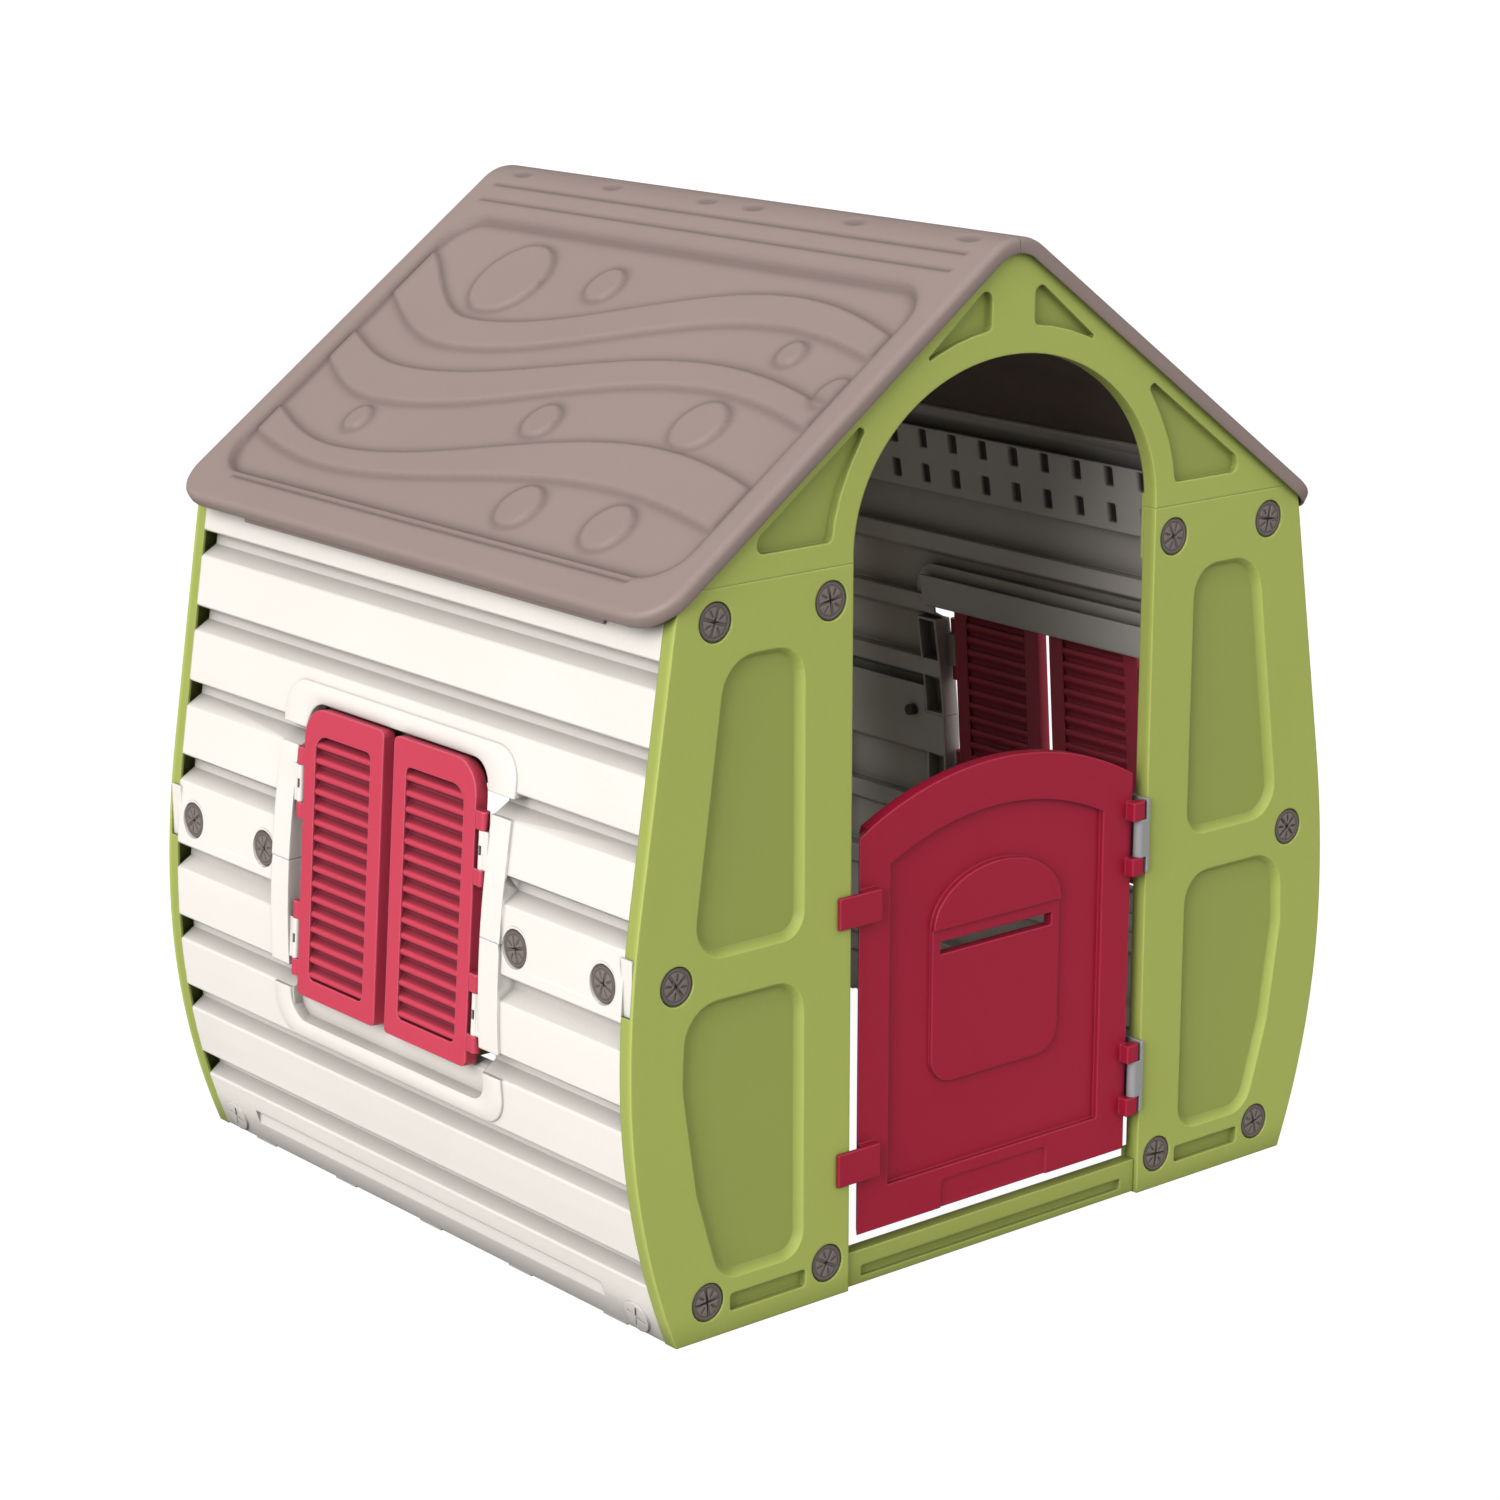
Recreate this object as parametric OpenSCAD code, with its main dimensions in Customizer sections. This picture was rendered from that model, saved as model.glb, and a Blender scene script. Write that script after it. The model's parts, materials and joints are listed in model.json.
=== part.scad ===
// Child's outdoor playhouse moulded in plastic: two barrel-sided end walls, two clapboard side walls
// with shuttered windows, a half door with a letter slot and a two-piece pitched roof.
// Millimetres, +Z up. X runs across the house, the door end faces -Y, the origin is on the ground.

/* [Body] */
// half width of the house at the bulge of its sides
bulge_half_w = 502; // [470:1:540]
// height of the widest point of the bulge
bulge_z = 290; // [260:1:320]
// distance from the centre plane to the outer face of each end wall
end_half_d = 430; // [400:1:500]
// depth of the end wall mouldings front to back
end_depth = 18; // [14:1:24]
// height of the seam between the lower panels and the gable
seam_z = 781; // [770:1:800]
// thickness of the moulded skins
skin = 3.2; // [2.5:0.1:4]

/* [Doorway] */
// half width of the doorway
door_way_half = 215; // [190:1:235]
// height of the top of the doorway arch
arch_top = 969; // [940:1:980]
// height at which the arch springs from the straight jambs
arch_spring = 789; // [784:1:820]
// width of the plain rim around the arch
arch_rim = 29; // [22:1:36]

/* [Panel relief] */
// depth of the recessed fields in the green mouldings
recess_d = 8; // [5:0.5:10]
// width of the sloping edge of those fields
recess_bevel = 7; // [3:0.5:9]
// inner edge of the recessed fields, from the centre plane
recess_x = 278; // [262:1:290]

/* [Screw caps] */
// radius of a screw cap
cap_r = 19.5; // [16:0.5:22]
// radius of the round recess that holds a cap
cap_recess_r = 21; // [20:0.5:24]
// depth of that recess
cap_recess_d = 4.5; // [3:0.5:6]
// radius of a screw shank
shank_r = 7; // [5:0.5:9]

/* [Side walls] */
// top of the middle board
mid_board_top = 430; // [420:1:440]
// bottom of the middle board
mid_board_bottom = 354; // [344:1:364]
// spacing of the boards above the middle one
pitch_up = 85; // [80:0.5:90]
// spacing of the boards below the middle one
pitch_down = 86; // [80:0.5:90]
// height of the groove between two boards
groove_h = 27; // [20:1:32]
// depth of the groove between two boards
groove_d = 18; // [10:1:22]
// height of the seam across the window bars
wall_seam_z = 387; // [375:1:400]

/* [Window] */
// half width of the window opening
win_half = 178; // [165:1:190]
// top of the window opening
win_top = 566; // [550:1:580]
// radius of the top corners of the opening
win_corner = 26; // [10:1:40]
// width of the upright bars beside the opening
bar_w = 34; // [26:1:40]
// how far the bars stand out from the boards
bar_proud = 3; // [1:0.5:5]

/* [Shutters] */
// width of one shutter
shutter_w = 148; // [130:1:150]
// height of one shutter
shutter_h = 325; // [300:1:330]
// thickness of a shutter
shutter_t = 15; // [12:0.5:18]
// gap between two closed shutters
shutter_gap = 20; // [12:1:24]
// inward lean of the shutters and their hinge line
shutter_tilt = 4.2; // [0:0.1:6]
// number of louvre slats in a shutter
slats = 16; // [10:1:20]

/* [Door] */
// half width of the door
door_half_w = 198; // [180:1:206]
// height of the bottom edge of the door
door_bottom = 56; // [54:1:70]
// height of the top of the door at its middle
door_top = 542; // [500:1:580]
// thickness of the door
door_t = 15; // [12:0.5:18]
// distance of the door face behind the end wall face
door_set = 7; // [5:0.5:9]
// half width of the letter slot
slot_half = 81.5; // [60:0.5:88]
// height of the letter slot
slot_h = 14; // [8:0.5:18]

/* [Hinges] */
// radius of the hinge knuckles
knuckle_r = 6; // [5:0.25:7]
// radius of the hinge studs
stud_r = 3; // [2:0.25:4]
// radial running clearance of the studs
stud_clear = 0.05; // [0.03:0.01:0.1]
// gap between the ends of neighbouring knuckles
knuckle_gap = 0.4; // [0.3:0.1:1]

/* [Roof] */
// pitch of the roof
pitch = 35.8; // [32:0.1:38]
// height where the two outer roof planes would meet
roof_apex = 1103.2; // [1090:0.2:1120]
// distance down the slope from that line to the eave
roof_len = 588; // [570:1:600]
// overhang of the roof past each end wall
roof_over = 8; // [2:1:20]
// depth of the roof rim, square to the slope
rim_h = 17; // [14:0.5:22]
// radius of the rounded ridge
ridge_r = 60; // [40:1:80]
// radius of the eave corners seen square to the slope
eave_corner = 48; // [30:1:80]
// depth of the recessed field in the roof
field_d = 4.5; // [3:0.5:6]
// height of the wood grain bands above the field
grain_h = 2.5; // [1:0.1:3]

/* [Hidden] */
$fn = 48;
roof_half_d = end_half_d + roof_over;
eps = 0.05;
fit = 0.3;
green = [0.60, 0.66, 0.30];
cream = [0.93, 0.91, 0.87];
taupe = [0.60, 0.53, 0.51];
red = [0.62, 0.11, 0.20];
pink = [0.83, 0.25, 0.34];
brown = [0.38, 0.35, 0.34];
grey = [0.62, 0.63, 0.64];
low_r = 785;
high_r = 1100;
straight_z = bulge_z + 172;
slope_x = 172 / sqrt(high_r * high_r - 172 * 172);
tp = tan(pitch);
cp = cos(pitch);
sp = sin(pitch);
front = -end_half_d;
rear = front + end_depth;
wall_half = end_half_d - end_depth;
gable_line = roof_apex - (skin + fit) / cp;
visible_line = roof_apex - rim_h / cp - 0.7;
ridge_c = roof_apex - ridge_r / cp;
visible_r = 93;
visible_c = visible_line - visible_r / cp;

// --- curves ---
function bx(z) = z < bulge_z
    ? bulge_half_w - low_r + sqrt(low_r * low_r - (bulge_z - z) * (bulge_z - z))
    : z < straight_z
    ? bulge_half_w - high_r + sqrt(high_r * high_r - (z - bulge_z) * (z - bulge_z))
    : bx_straight - slope_x * (z - straight_z);
bx_straight = bulge_half_w - high_r + sqrt(high_r * high_r - 172 * 172);
function unit(v) = v / norm(v);
function corner(a, b, c, r, n) = r <= 0 ? [b] : let(
    u = unit(a - b),
    v = unit(c - b),
    half = acos(max(-0.9999, min(0.9999, u * v))) / 2,
    m = b + unit(u + v) * r / sin(half),
    s = b + u * r / tan(half),
    e = b + v * r / tan(half),
    a0 = atan2(s[1] - m[1], s[0] - m[0]),
    d = atan2(e[1] - m[1], e[0] - m[0]) - a0,
    dd = d > 180 ? d - 360 : d < -180 ? d + 360 : d)
    [for (i = [0:n]) m + r * [cos(a0 + dd * i / n), sin(a0 + dd * i / n)]];
function rounded(p, r, n = 6) = let(k = len(p))
    [for (i = [0:k - 1]) each corner(p[(i + k - 1) % k], p[i], p[(i + 1) % k], r[i], n)];
function inset(p, d) = let(k = len(p)) [for (i = [0:k - 1]) let(
    u = unit(p[i] - p[(i + k - 1) % k]),
    v = unit(p[(i + 1) % k] - p[i]),
    m = [-u[1] - v[1], u[0] + v[0]])
    p[i] + m * (2 * d / (m * m))];
function less(r, d) = [for (q = r) q <= 0 ? 0 : max(q - d, 1)];
function back(p) = [for (i = [len(p) - 1:-1:0]) p[i]];
function box2(x0, z0, x1, z1) = [[x0, z0], [x1, z0], [x1, z1], [x0, z1]];
// where the side meets the roof plane at height line h
function meet_z(h) = (h - tp * (bx_straight + slope_x * straight_z)) / (1 - tp * slope_x);

// --- solids ---
module slab(y0, y1) {
  translate([0, y1, 0])
    rotate([90, 0, 0])
      linear_extrude(y1 - y0)
        children();
}
module slab_x(x0, x1) {
  translate([x0, 0, 0])
    rotate([90, 0, 90])
      linear_extrude(x1 - x0)
        children();
}
// solid between outline a at y0 and outline b at y1
module loft(a, b, y0, y1) {
  n = len(a);
  polyhedron(
    points = concat([for (q = a) [q[0], y0, q[1]]], [for (q = b) [q[0], y1, q[1]]]),
    faces = concat(
      [[for (i = [0:n - 1]) n - 1 - i]],
      [[for (i = [0:n - 1]) n + i]],
      [for (i = [0:n - 1]) [i, (i + 1) % n, n + (i + 1) % n]],
      [for (i = [0:n - 1]) [i, n + (i + 1) % n, n + i]]),
    convexity = 4);
}
module field_cut(p, r, y0) {
  a = rounded(inset(p, -0.35 * recess_bevel / recess_d), r);
  b = rounded(inset(p, recess_bevel), less(r, recess_bevel));
  loft(a, b, y0 - 0.4, y0 + recess_d);
}
module pan(p, r, y0, d) {
  slab(y0, y0 + d + skin)
    polygon(rounded(inset(p, -skin), [for (q = r) q > 0 ? q + skin : 0]));
}
module rod_y(x, z, r, y0, y1) {
  translate([x, y0, z])
    rotate([-90, 0, 0])
      cylinder(r = r, h = y1 - y0);
}
module rod_x(x0, x1, y, z, r) {
  translate([x0, y, z])
    rotate([0, 90, 0])
      cylinder(r = r, h = x1 - x0);
}

// --- end walls, drawn for the door end ---
mate_z = meet_z(gable_line);
panel_top = seam_z - fit / 2;
side_top = min(mate_z, panel_top);
side_pts = [for (i = [0:40]) let(z = side_top * i / 40) [bx(z), z]];
lower_outline = concat(
  [[door_way_half, 0]],
  side_pts,
  mate_z < panel_top ? [[(gable_line - panel_top) / tp, panel_top]] : [],
  [[door_way_half, panel_top]]);
upper_field = [[recess_x, 404], [424, 404], [380, 710], [recess_x, 710]];
upper_field_r = [28, 36, 44, 36];
lower_field = [[recess_x, 58], [390, 58], [420, 160], [437, 275], [433, 361], [recess_x, 361]];
lower_field_r = [28, 34, 90, 90, 44, 36];
slot_field = box2(274, 22, 376, 41);
slot_field_r = [4, 4, 4, 4];
panel_screws = [[244.3, 747], [393.2, 747], [443.6, 385.5], [405.2, 39.6], [245, 39.6]];
notch_z0 = 362;
notch_z1 = 422;

module lower_panel() {
  difference() {
    slab(front, rear)
      polygon(lower_outline);
    difference() {
      slab(front + skin, rear + 1)
        polygon(inset(lower_outline, skin));
      pan(upper_field, upper_field_r, front, recess_d);
      pan(lower_field, lower_field_r, front, recess_d);
      pan(slot_field, slot_field_r, front, recess_d);
      for (s = panel_screws)
        rod_y(s[0], s[1], cap_recess_r + 3, front, rear + 2);
    }
    field_cut(upper_field, upper_field_r, front);
    field_cut(lower_field, lower_field_r, front);
    slab(front - 1, front + recess_d)
      polygon(rounded(slot_field, slot_field_r, 3));
    for (s = panel_screws) {
      rod_y(s[0], s[1], cap_recess_r, front - 1, front + cap_recess_d);
      rod_y(s[0], s[1], shank_r + fit, front - 1, rear + 1);
    }
    translate([bx(notch_z0) - 12, front + 4, notch_z0])
      cube([40, end_depth, notch_z1 - notch_z0]);
  }
}

function ell(x) = arch_spring + (arch_top - arch_spring + arch_rim)
    * sqrt(1 - x * x / ((door_way_half + arch_rim) * (door_way_half + arch_rim)));
function ell_x(z) = (door_way_half + arch_rim)
    * sqrt(1 - pow((z - arch_spring) / (arch_top - arch_spring + arch_rim), 2));
function under(x) = visible_line - 11 / cp - tp * x;
high_pocket = [[30, ell(30)], [55, ell(55)], [80, ell(80)], [104, ell(104)],
  [128, ell(128) + 1], [30, under(30)]];
high_pocket_r = [6, 0, 0, 0, 2.2, 9];
low_tip = 202;
low_pocket = [[ell_x(806), 806], [344, 806], [(under(0) - 824) / tp, 824], [low_tip + 6, under(low_tip + 6)],
  [low_tip - 2, ell(low_tip - 2) + 5], [ell_x(880), 880], [ell_x(852), 852], [ell_x(828), 828]];
low_pocket_r = [7, 9, 9, 4, 4, 0, 0, 0];
arch_pts = [for (i = [0:60]) let(a = 180 - 3 * i)
  [door_way_half * cos(a), arch_spring + (arch_top - arch_spring) * sin(a)]];
gable_r = ridge_r - skin - fit;
gable_half = min(bx(seam_z), (gable_line - seam_z) / tp);
gable_side = mate_z > seam_z ? [[bx(mate_z), mate_z]] : [];
function gable_shape(half, side) = concat(
  [[half, seam_z]],
  side,
  [for (i = [0:16]) let(a = 90 - pitch + 2 * pitch * i / 16) [gable_r * cos(a), ridge_c + gable_r * sin(a)]],
  [for (q = side) [-q[0], q[1]]],
  [[-half, seam_z], [-door_way_half, seam_z]],
  arch_pts,
  [[door_way_half, seam_z]]);
tab_z0 = 724;

module gable() {
  difference() {
    slab(front, rear)
      polygon(gable_shape(gable_half, gable_side));
    difference() {
      slab(front + skin, rear + 1)
        polygon(inset(gable_shape((gable_line - seam_z) / tp, []), skin));
      for (m = [0, 1])
        mirror([m, 0, 0]) {
          pan(high_pocket, high_pocket_r, front, recess_d);
          pan(low_pocket, low_pocket_r, front, recess_d);
        }
    }
    for (m = [0, 1])
      mirror([m, 0, 0]) {
        slab(front - 1, front + recess_d)
          polygon(rounded(high_pocket, high_pocket_r));
        slab(front - 1, front + recess_d)
          polygon(rounded(low_pocket, low_pocket_r));
      }
  }
  for (m = [0, 1])
    mirror([m, 0, 0])
      difference() {
        slab(rear, rear + skin)
          polygon(box2(door_way_half, tab_z0, 352, seam_z + 14));
        rod_y(panel_screws[0][0], panel_screws[0][1], shank_r + fit, rear - 1, rear + 9);
      }
}

sill_top = 48;
module threshold() {
  difference() {
    union() {
      slab(front + 5, rear + skin)
        polygon(box2(-door_way_half + fit, 2, door_way_half - fit, sill_top));
      slab(rear + eps, rear + skin)
        polygon(box2(-268, 14, 268, 62));
    }
    slab(front, front + 11)
      polygon(rounded(box2(-193, 11, 193, 26), [3, 3, 3, 3], 3));
    slab(front + 5 + skin, rear + skin + 1)
      polygon(box2(-door_way_half + 4, 32, door_way_half - 4, sill_top - skin));
    for (m = [-1, 1])
      rod_y(m * panel_screws[4][0], panel_screws[4][1], shank_r + fit, rear - 1, rear + 9);
    slab(rear - 1, rear + skin + 1)
      polygon(box2(-door_way_half + 4, sill_top + fit, door_way_half - 4, 70));
  }
}

// --- screws: cap with a cross groove, shank and locking end ---
module cap_screw() {
  difference() {
    union() {
      cylinder(r = cap_r, h = 3.4);
      translate([0, 0, -end_depth - 8])
        cylinder(r = shank_r, h = end_depth + 8.5);
    }
    for (a = [0, 90])
      rotate([0, 0, a])
        translate([-cap_r * 0.86, -1.3, 2])
          cube([cap_r * 1.72, 2.6, 3]);
    for (a = [45:90:315])
      rotate([0, 0, a])
        translate([6, -1.1, 2.4])
          cube([8, 2.2, 3]);
  }
}
module end_screws() {
  for (m = [-1, 1])
    for (s = panel_screws)
      translate([m * s[0], front + cap_recess_d - 0.1, s[1]])
        rotate([90, 0, 0])
          cap_screw();
}

// --- side walls, drawn for the +X side ---
up_grooves = [for (k = [0:3]) mid_board_top + pitch_up * k];
low_grooves = [for (k = [3:-1:1]) mid_board_bottom - pitch_down * k - groove_h];
shoulder = 10;
// outline of one groove whose lower edge is at zb, for a surface t below the outer one
function groove(zb, t, c) = let(zt = zb + groove_h) [
    [bx(zb - c) - t, zb - c - 0.6 * t],
    [bx(zb) - t - 0.7 * c, zb - 0.6 * t],
    [bx(zb + shoulder) - groove_d - t, zb + shoulder - 0.6 * t],
    [bx(zt) - groove_d - t, zt + t],
    [bx(zt) - t - c, zt + t],
    [bx(zt + c) - t, zt + t + c]];
function board_mid(z, t) = [[bx(z) - t, z]];
wall_foot = 2;
flange_len = 34;
top_z = meet_z(roof_apex - (field_d + skin + fit) / cp);
function low_path(t, c) = concat(
  [[bx(wall_foot) - t, wall_foot]],
  board_mid(34, t),
  [for (g = low_grooves) each concat(groove(g, t, c), board_mid(g + groove_h + 30, t))],
  [for (g = [mid_board_bottom - groove_h]) each [
    [bx(g - c) - t, g - c - 0.6 * t],
    [bx(g) - t - 0.7 * c, g - 0.6 * t],
    [bx(g + shoulder) - groove_d - t, g + shoulder - 0.6 * t]]],
  [[bx(mid_board_bottom) - groove_d - t, mid_board_bottom], [bx(mid_board_top - 8) - groove_d - t, mid_board_top - 8]]);
function up_path(t, c) = concat(
  [[bx(mid_board_bottom) - groove_d + 0.2, mid_board_bottom + t]],
  [[bx(mid_board_bottom) - t - c, mid_board_bottom + t]],
  [[bx(mid_board_bottom + c) - t, mid_board_bottom + t + c]],
  board_mid(392, t),
  [for (g = up_grooves) each concat(groove(g, t, c), g < up_grooves[3] ? board_mid(g + groove_h + 29, t) : [])]);
low_profile = concat(low_path(0, 2.2), back(low_path(skin, 0.6)));
up_top = [[bx(top_z), top_z], [bx(top_z) - flange_len * cp, top_z + flange_len * sp],
  [bx(top_z) - flange_len * cp - skin * sp, top_z + flange_len * sp - skin * cp],
  [bx(top_z) - skin, top_z - skin * 0.8]];
up_profile = concat(up_path(0, 2.2), up_top, back(up_path(skin, 0.6)));
// band of plate that carries the screws at each end of a wall
function flange_band(z0, z1) = concat(
  [for (i = [0:12]) let(z = z0 + (z1 - z0) * i / 12) [bx(z) - groove_d - 1, z]],
  [for (i = [12:-1:0]) let(z = z0 + (z1 - z0) * i / 12) [bx(z) - 78, z]]);
wall_screws = [win_half + 56, wall_half - 32];
cut_x = bulge_half_w - 202;
cut_w = 300;
long_half = wall_half - 86;
foot_y = wall_half - 82;
boss_x = bx(wall_seam_z - cap_recess_r - 3) - groove_d + 0.15;
boss_r = cap_recess_r + 2.4;

module bar(z0, z1) {
  n = 8;
  outer = [for (i = [0:n]) let(z = z0 + (z1 - z0) * i / n) [bx(z) + bar_proud, z]];
  inner = [for (i = [n:-1:0]) let(z = z0 + (z1 - z0) * i / n) [bx(z) - groove_d - skin, z]];
  in_face = [for (i = [0:n]) let(z = z0 + (z1 - z0) * i / n) [bx(z) + bar_proud - skin, z]];
  in_back = [for (i = [n:-1:0]) let(z = z0 + (z1 - z0) * i / n) [bx(z) - groove_d - skin - 1, z]];
  for (m = [0, 1])
    mirror([0, m, 0])
      difference() {
        slab(win_half, win_half + bar_w)
          polygon(concat(outer, inner));
        intersection() {
          slab(win_half + skin, win_half + bar_w - skin)
            polygon(concat(in_face, in_back));
          translate([0, 0, z0 + skin])
            cube([2 * bulge_half_w, 2 * end_half_d, z1 - z0 - 2 * skin]);
        }
      }
}
module raised_screw(y, z) {
  translate([bx(z) - 1.5, y, z])
    rotate([0, 90 + asin(min(1, (bulge_z - z) / low_r)), 0])
      difference() {
        cylinder(r = cap_r - 1, h = 3.5);
        for (a = [20, 110])
          rotate([0, 0, a])
            translate([-cap_r * 0.7, -1.3, 2.2])
              cube([cap_r * 1.4, 2.6, 3]);
      }
}
hinge_low = [278, 323];
hinge_high = [455, 496];
axis_y = 168;
axis_in = 5;
face_x = bx(400) + 0.3;
module leaning() {
  translate([face_x - axis_in, 0, 400])
    rotate([0, -shutter_tilt, 0])
      children();
}
// knuckle on a window bar, between heights z0 and z1 measured along the hinge line
module bar_knuckle(span) {
  for (m = [-1, 1])
    difference() {
      leaning()
        translate([0, m * axis_y, span[0] - 400])
          union() {
            cylinder(r = knuckle_r - 0.5, h = span[1] - span[0]);
            translate([-knuckle_r + 0.5, m > 0 ? 0 : -11, 0])
              cube([2 * knuckle_r - 3, 11, span[1] - span[0]]);
          }
      leaning()
        translate([0, m * axis_y, span[0] - 401])
          cylinder(r = stud_r + stud_clear, h = span[1] - span[0] + 2);
      leaning()
        translate([0, m * axis_y - 2.2, (span[0] + span[1]) / 2 - 400 - 5])
          cube([20, 4.4, 10]);
    }
}
apron_z = 206;
sill_z = mid_board_bottom - pitch_down - groove_h;
apron_d = 11;
module apron() {
  p = [[bx(apron_z), apron_z - skin], [bx(apron_z), apron_z], [bx(apron_z) - apron_d, apron_z + 3],
    [bx(sill_z) - apron_d, sill_z - 4], [bx(sill_z) - apron_d - 4, sill_z],
    [bx(sill_z) - groove_d - 6, sill_z + 2], [bx(sill_z) - groove_d - 6, sill_z + 2 - skin],
    [bx(sill_z) - apron_d - skin, sill_z - 5 - skin], [bx(apron_z) - apron_d - skin, apron_z - skin]];
  slab(-win_half, win_half)
    polygon(p);
  for (m = [0, 1])
    mirror([0, m, 0])
      slab(win_half - eps, win_half + skin)
        polygon([[bx(apron_z), apron_z - skin], [bx(sill_z) - 1, sill_z],
          [bx(sill_z) - groove_d - 6, sill_z], [bx(apron_z) - apron_d - skin, apron_z - skin]]);
}
module wall_tab() {
  for (m = [-1, 1])
    translate([bx(notch_z0 + 30) - 9, m > 0 ? wall_half - 5 : -wall_half - end_depth + 4 + fit, notch_z0 + fit])
      cube([8, end_depth + 1 - fit, notch_z1 - notch_z0 - 2 * fit]);
}
module wall_end_holes(list) {
  for (m = [-1, 1])
    for (k = list)
      rod_y(panel_screws[k][0], panel_screws[k][1], shank_r + fit, m > 0 ? wall_half - 9 : -wall_half - 1,
        m > 0 ? wall_half + 1 : -wall_half + 9);
}
module wall_lower() {
  bar_end = win_half + bar_w;
  difference() {
    union() {
      difference() {
        slab(-wall_half, wall_half)
          polygon(low_profile);
        translate([cut_x, -win_half, sill_z])
          cube([cut_w, 2 * win_half, 400]);
        translate([cut_x, -win_half - eps, apron_z])
          cube([cut_w, 2 * win_half + 2 * eps, sill_z - apron_z + 1]);
        translate([cut_x, -bar_end - fit, wall_seam_z - fit / 2])
          cube([cut_w, 2 * bar_end + 2 * fit, 400]);
        translate([bx(44) - 6, -long_half, 27])
          cube([40, 2 * long_half, 17]);
      }
      slab(-long_half - skin, long_half + skin)
        polygon([[bx(23) - 1, 23], [bx(48) - 1, 48], [bx(44) - 6 - skin, 48], [bx(44) - 6 - skin, 23],
          [bx(23) - 2 * skin, 23]]);
      bar(sill_z + groove_h, wall_seam_z - fit / 2);
      apron();
      for (m = [0, 1])
        mirror([0, m, 0])
          slab(wall_half - skin, wall_half)
            polygon(flange_band(wall_foot, mid_board_top - 8));
      for (y = [-foot_y, -foot_y / 2, 0, foot_y / 2, foot_y])
        translate([bx(wall_foot) - skin, y - 20, 0])
          cube([skin - 0.2, 40, wall_foot + 1]);
      for (m = [-1, 1])
        raised_screw(m * (wall_half - 35), 22);
      bar_knuckle(hinge_low);
    }
    translate([bx(44) - 6, -long_half, 27])
      cube([40, 2 * long_half, 17]);
    wall_end_holes([2, 3]);
    for (m = [-1, 1])
      for (y = wall_screws) {
        rod_x(bx(392) - 60, bx(392) - 4, m * y, wall_seam_z, shank_r + fit);
        rod_x(boss_x - 0.1, bx(392) + 10, m * y, wall_seam_z, boss_r + fit);
      }
    for (m = [-1, 1])
      translate([bx(392) - 9.5, m > 0 ? wall_half - 6 : -wall_half - 1, notch_z0])
        cube([30, 7, 60]);
  }
}
module wall_upper() {
  bar_end = win_half + bar_w;
  difference() {
    union() {
      difference() {
        slab(-wall_half, wall_half)
          polygon(up_profile);
        slab_x(cut_x, cut_x + cut_w)
          polygon(rounded(box2(-win_half, 200, win_half, win_top), [1, 1, win_corner, win_corner]));
        translate([cut_x, -bar_end - fit, 200])
          cube([cut_w, 2 * bar_end + 2 * fit, wall_seam_z + fit / 2 - 200]);
      }
      bar(wall_seam_z + fit / 2, up_grooves[1]);
      for (m = [-1, 1])
        for (y = wall_screws)
          rod_x(boss_x, bx(392) - 1, m * y, wall_seam_z, boss_r);
      difference() {
        slab_x(bx(up_grooves[2]) - 10, bx(up_grooves[1]) + 3)
          polygon(rounded(box2(-win_half - 22, up_grooves[1] + groove_h, win_half + 22, win_top + 20),
            [1, 1, win_corner + 10, win_corner + 10]));
        slab_x(cut_x, cut_x + cut_w)
          polygon(rounded(box2(-win_half, 200, win_half, win_top), [1, 1, win_corner, win_corner]));
        slab(-wall_half, wall_half)
          polygon([[cut_x, 500], [bx(500) - skin - 4, 500], [bx(600) - skin - 4, 600], [cut_x, 600]]);
        slab(-wall_half, wall_half)
          polygon([[cut_x + cut_w, 500], [bx(500) + 1.2, 500], [bx(600) + 1.2, 600], [cut_x + cut_w, 600]]);
      }
      for (m = [0, 1])
        mirror([0, m, 0])
          slab(wall_half - skin, wall_half)
            polygon(flange_band(mid_board_top - 8 + fit, 752));
      wall_tab();
      bar_knuckle(hinge_high);
    }
    wall_end_holes([1]);
    for (m = [-1, 1])
      for (y = wall_screws) {
        rod_x(bx(392) - cap_recess_d, bx(392) + 20, m * y, wall_seam_z, cap_recess_r);
        rod_x(bx(392) - 60, bx(392) + 20, m * y, wall_seam_z, shank_r + fit);
      }
  }
}
module wall_screw_set() {
  for (m = [-1, 1])
    for (y = wall_screws)
      translate([bx(392) - cap_recess_d + 0.1, m * y, wall_seam_z])
        rotate([0, 90, 0])
          cap_screw();
}

// --- roof, drawn for the +X side ---
function slope_pt(u, w) = [u * cp - w * sp, roof_apex - u * sp - w * cp];
roof_seam = 0.2;
out_arc = [for (i = [0:14]) let(a = 90 - pitch + pitch * i / 14) [ridge_r * cos(a), ridge_c + ridge_r * sin(a)]];
function arc_part(r, c, n) = [for (i = [0:n]) let(a = 90 - pitch * i / n) [r * cos(a), c + r * sin(a)]];
roof_full = concat(
  [slope_pt(roof_len + 2, 0)],
  out_arc,
  arc_part(visible_r, visible_c, 12),
  [slope_pt(roof_len + 2, rim_h)]);
roof_void = concat(
  [slope_pt(roof_len + 30, skin)],
  [for (i = [0:14]) let(a = 90 - pitch + pitch * i / 14)
    [(ridge_r - skin) * cos(a), ridge_c + (ridge_r - skin) * sin(a)]],
  [[0, ridge_c - 300], slope_pt(roof_len + 30, 260)]);
module on_slope() {
  translate([0, 0, roof_apex])
    rotate([0, pitch, 0])
      children();
}
module plan_prism(d, z0, z1) {
  on_slope()
    translate([0, 0, z0])
      linear_extrude(z1 - z0)
        polygon(rounded(box2(-200, -roof_half_d + d, roof_len - d, roof_half_d - d),
          [1, eave_corner - d, eave_corner - d, 1], 10));
}
field_u0 = 107;
field_u1 = 539;
field_half = roof_half_d - 35;
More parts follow.
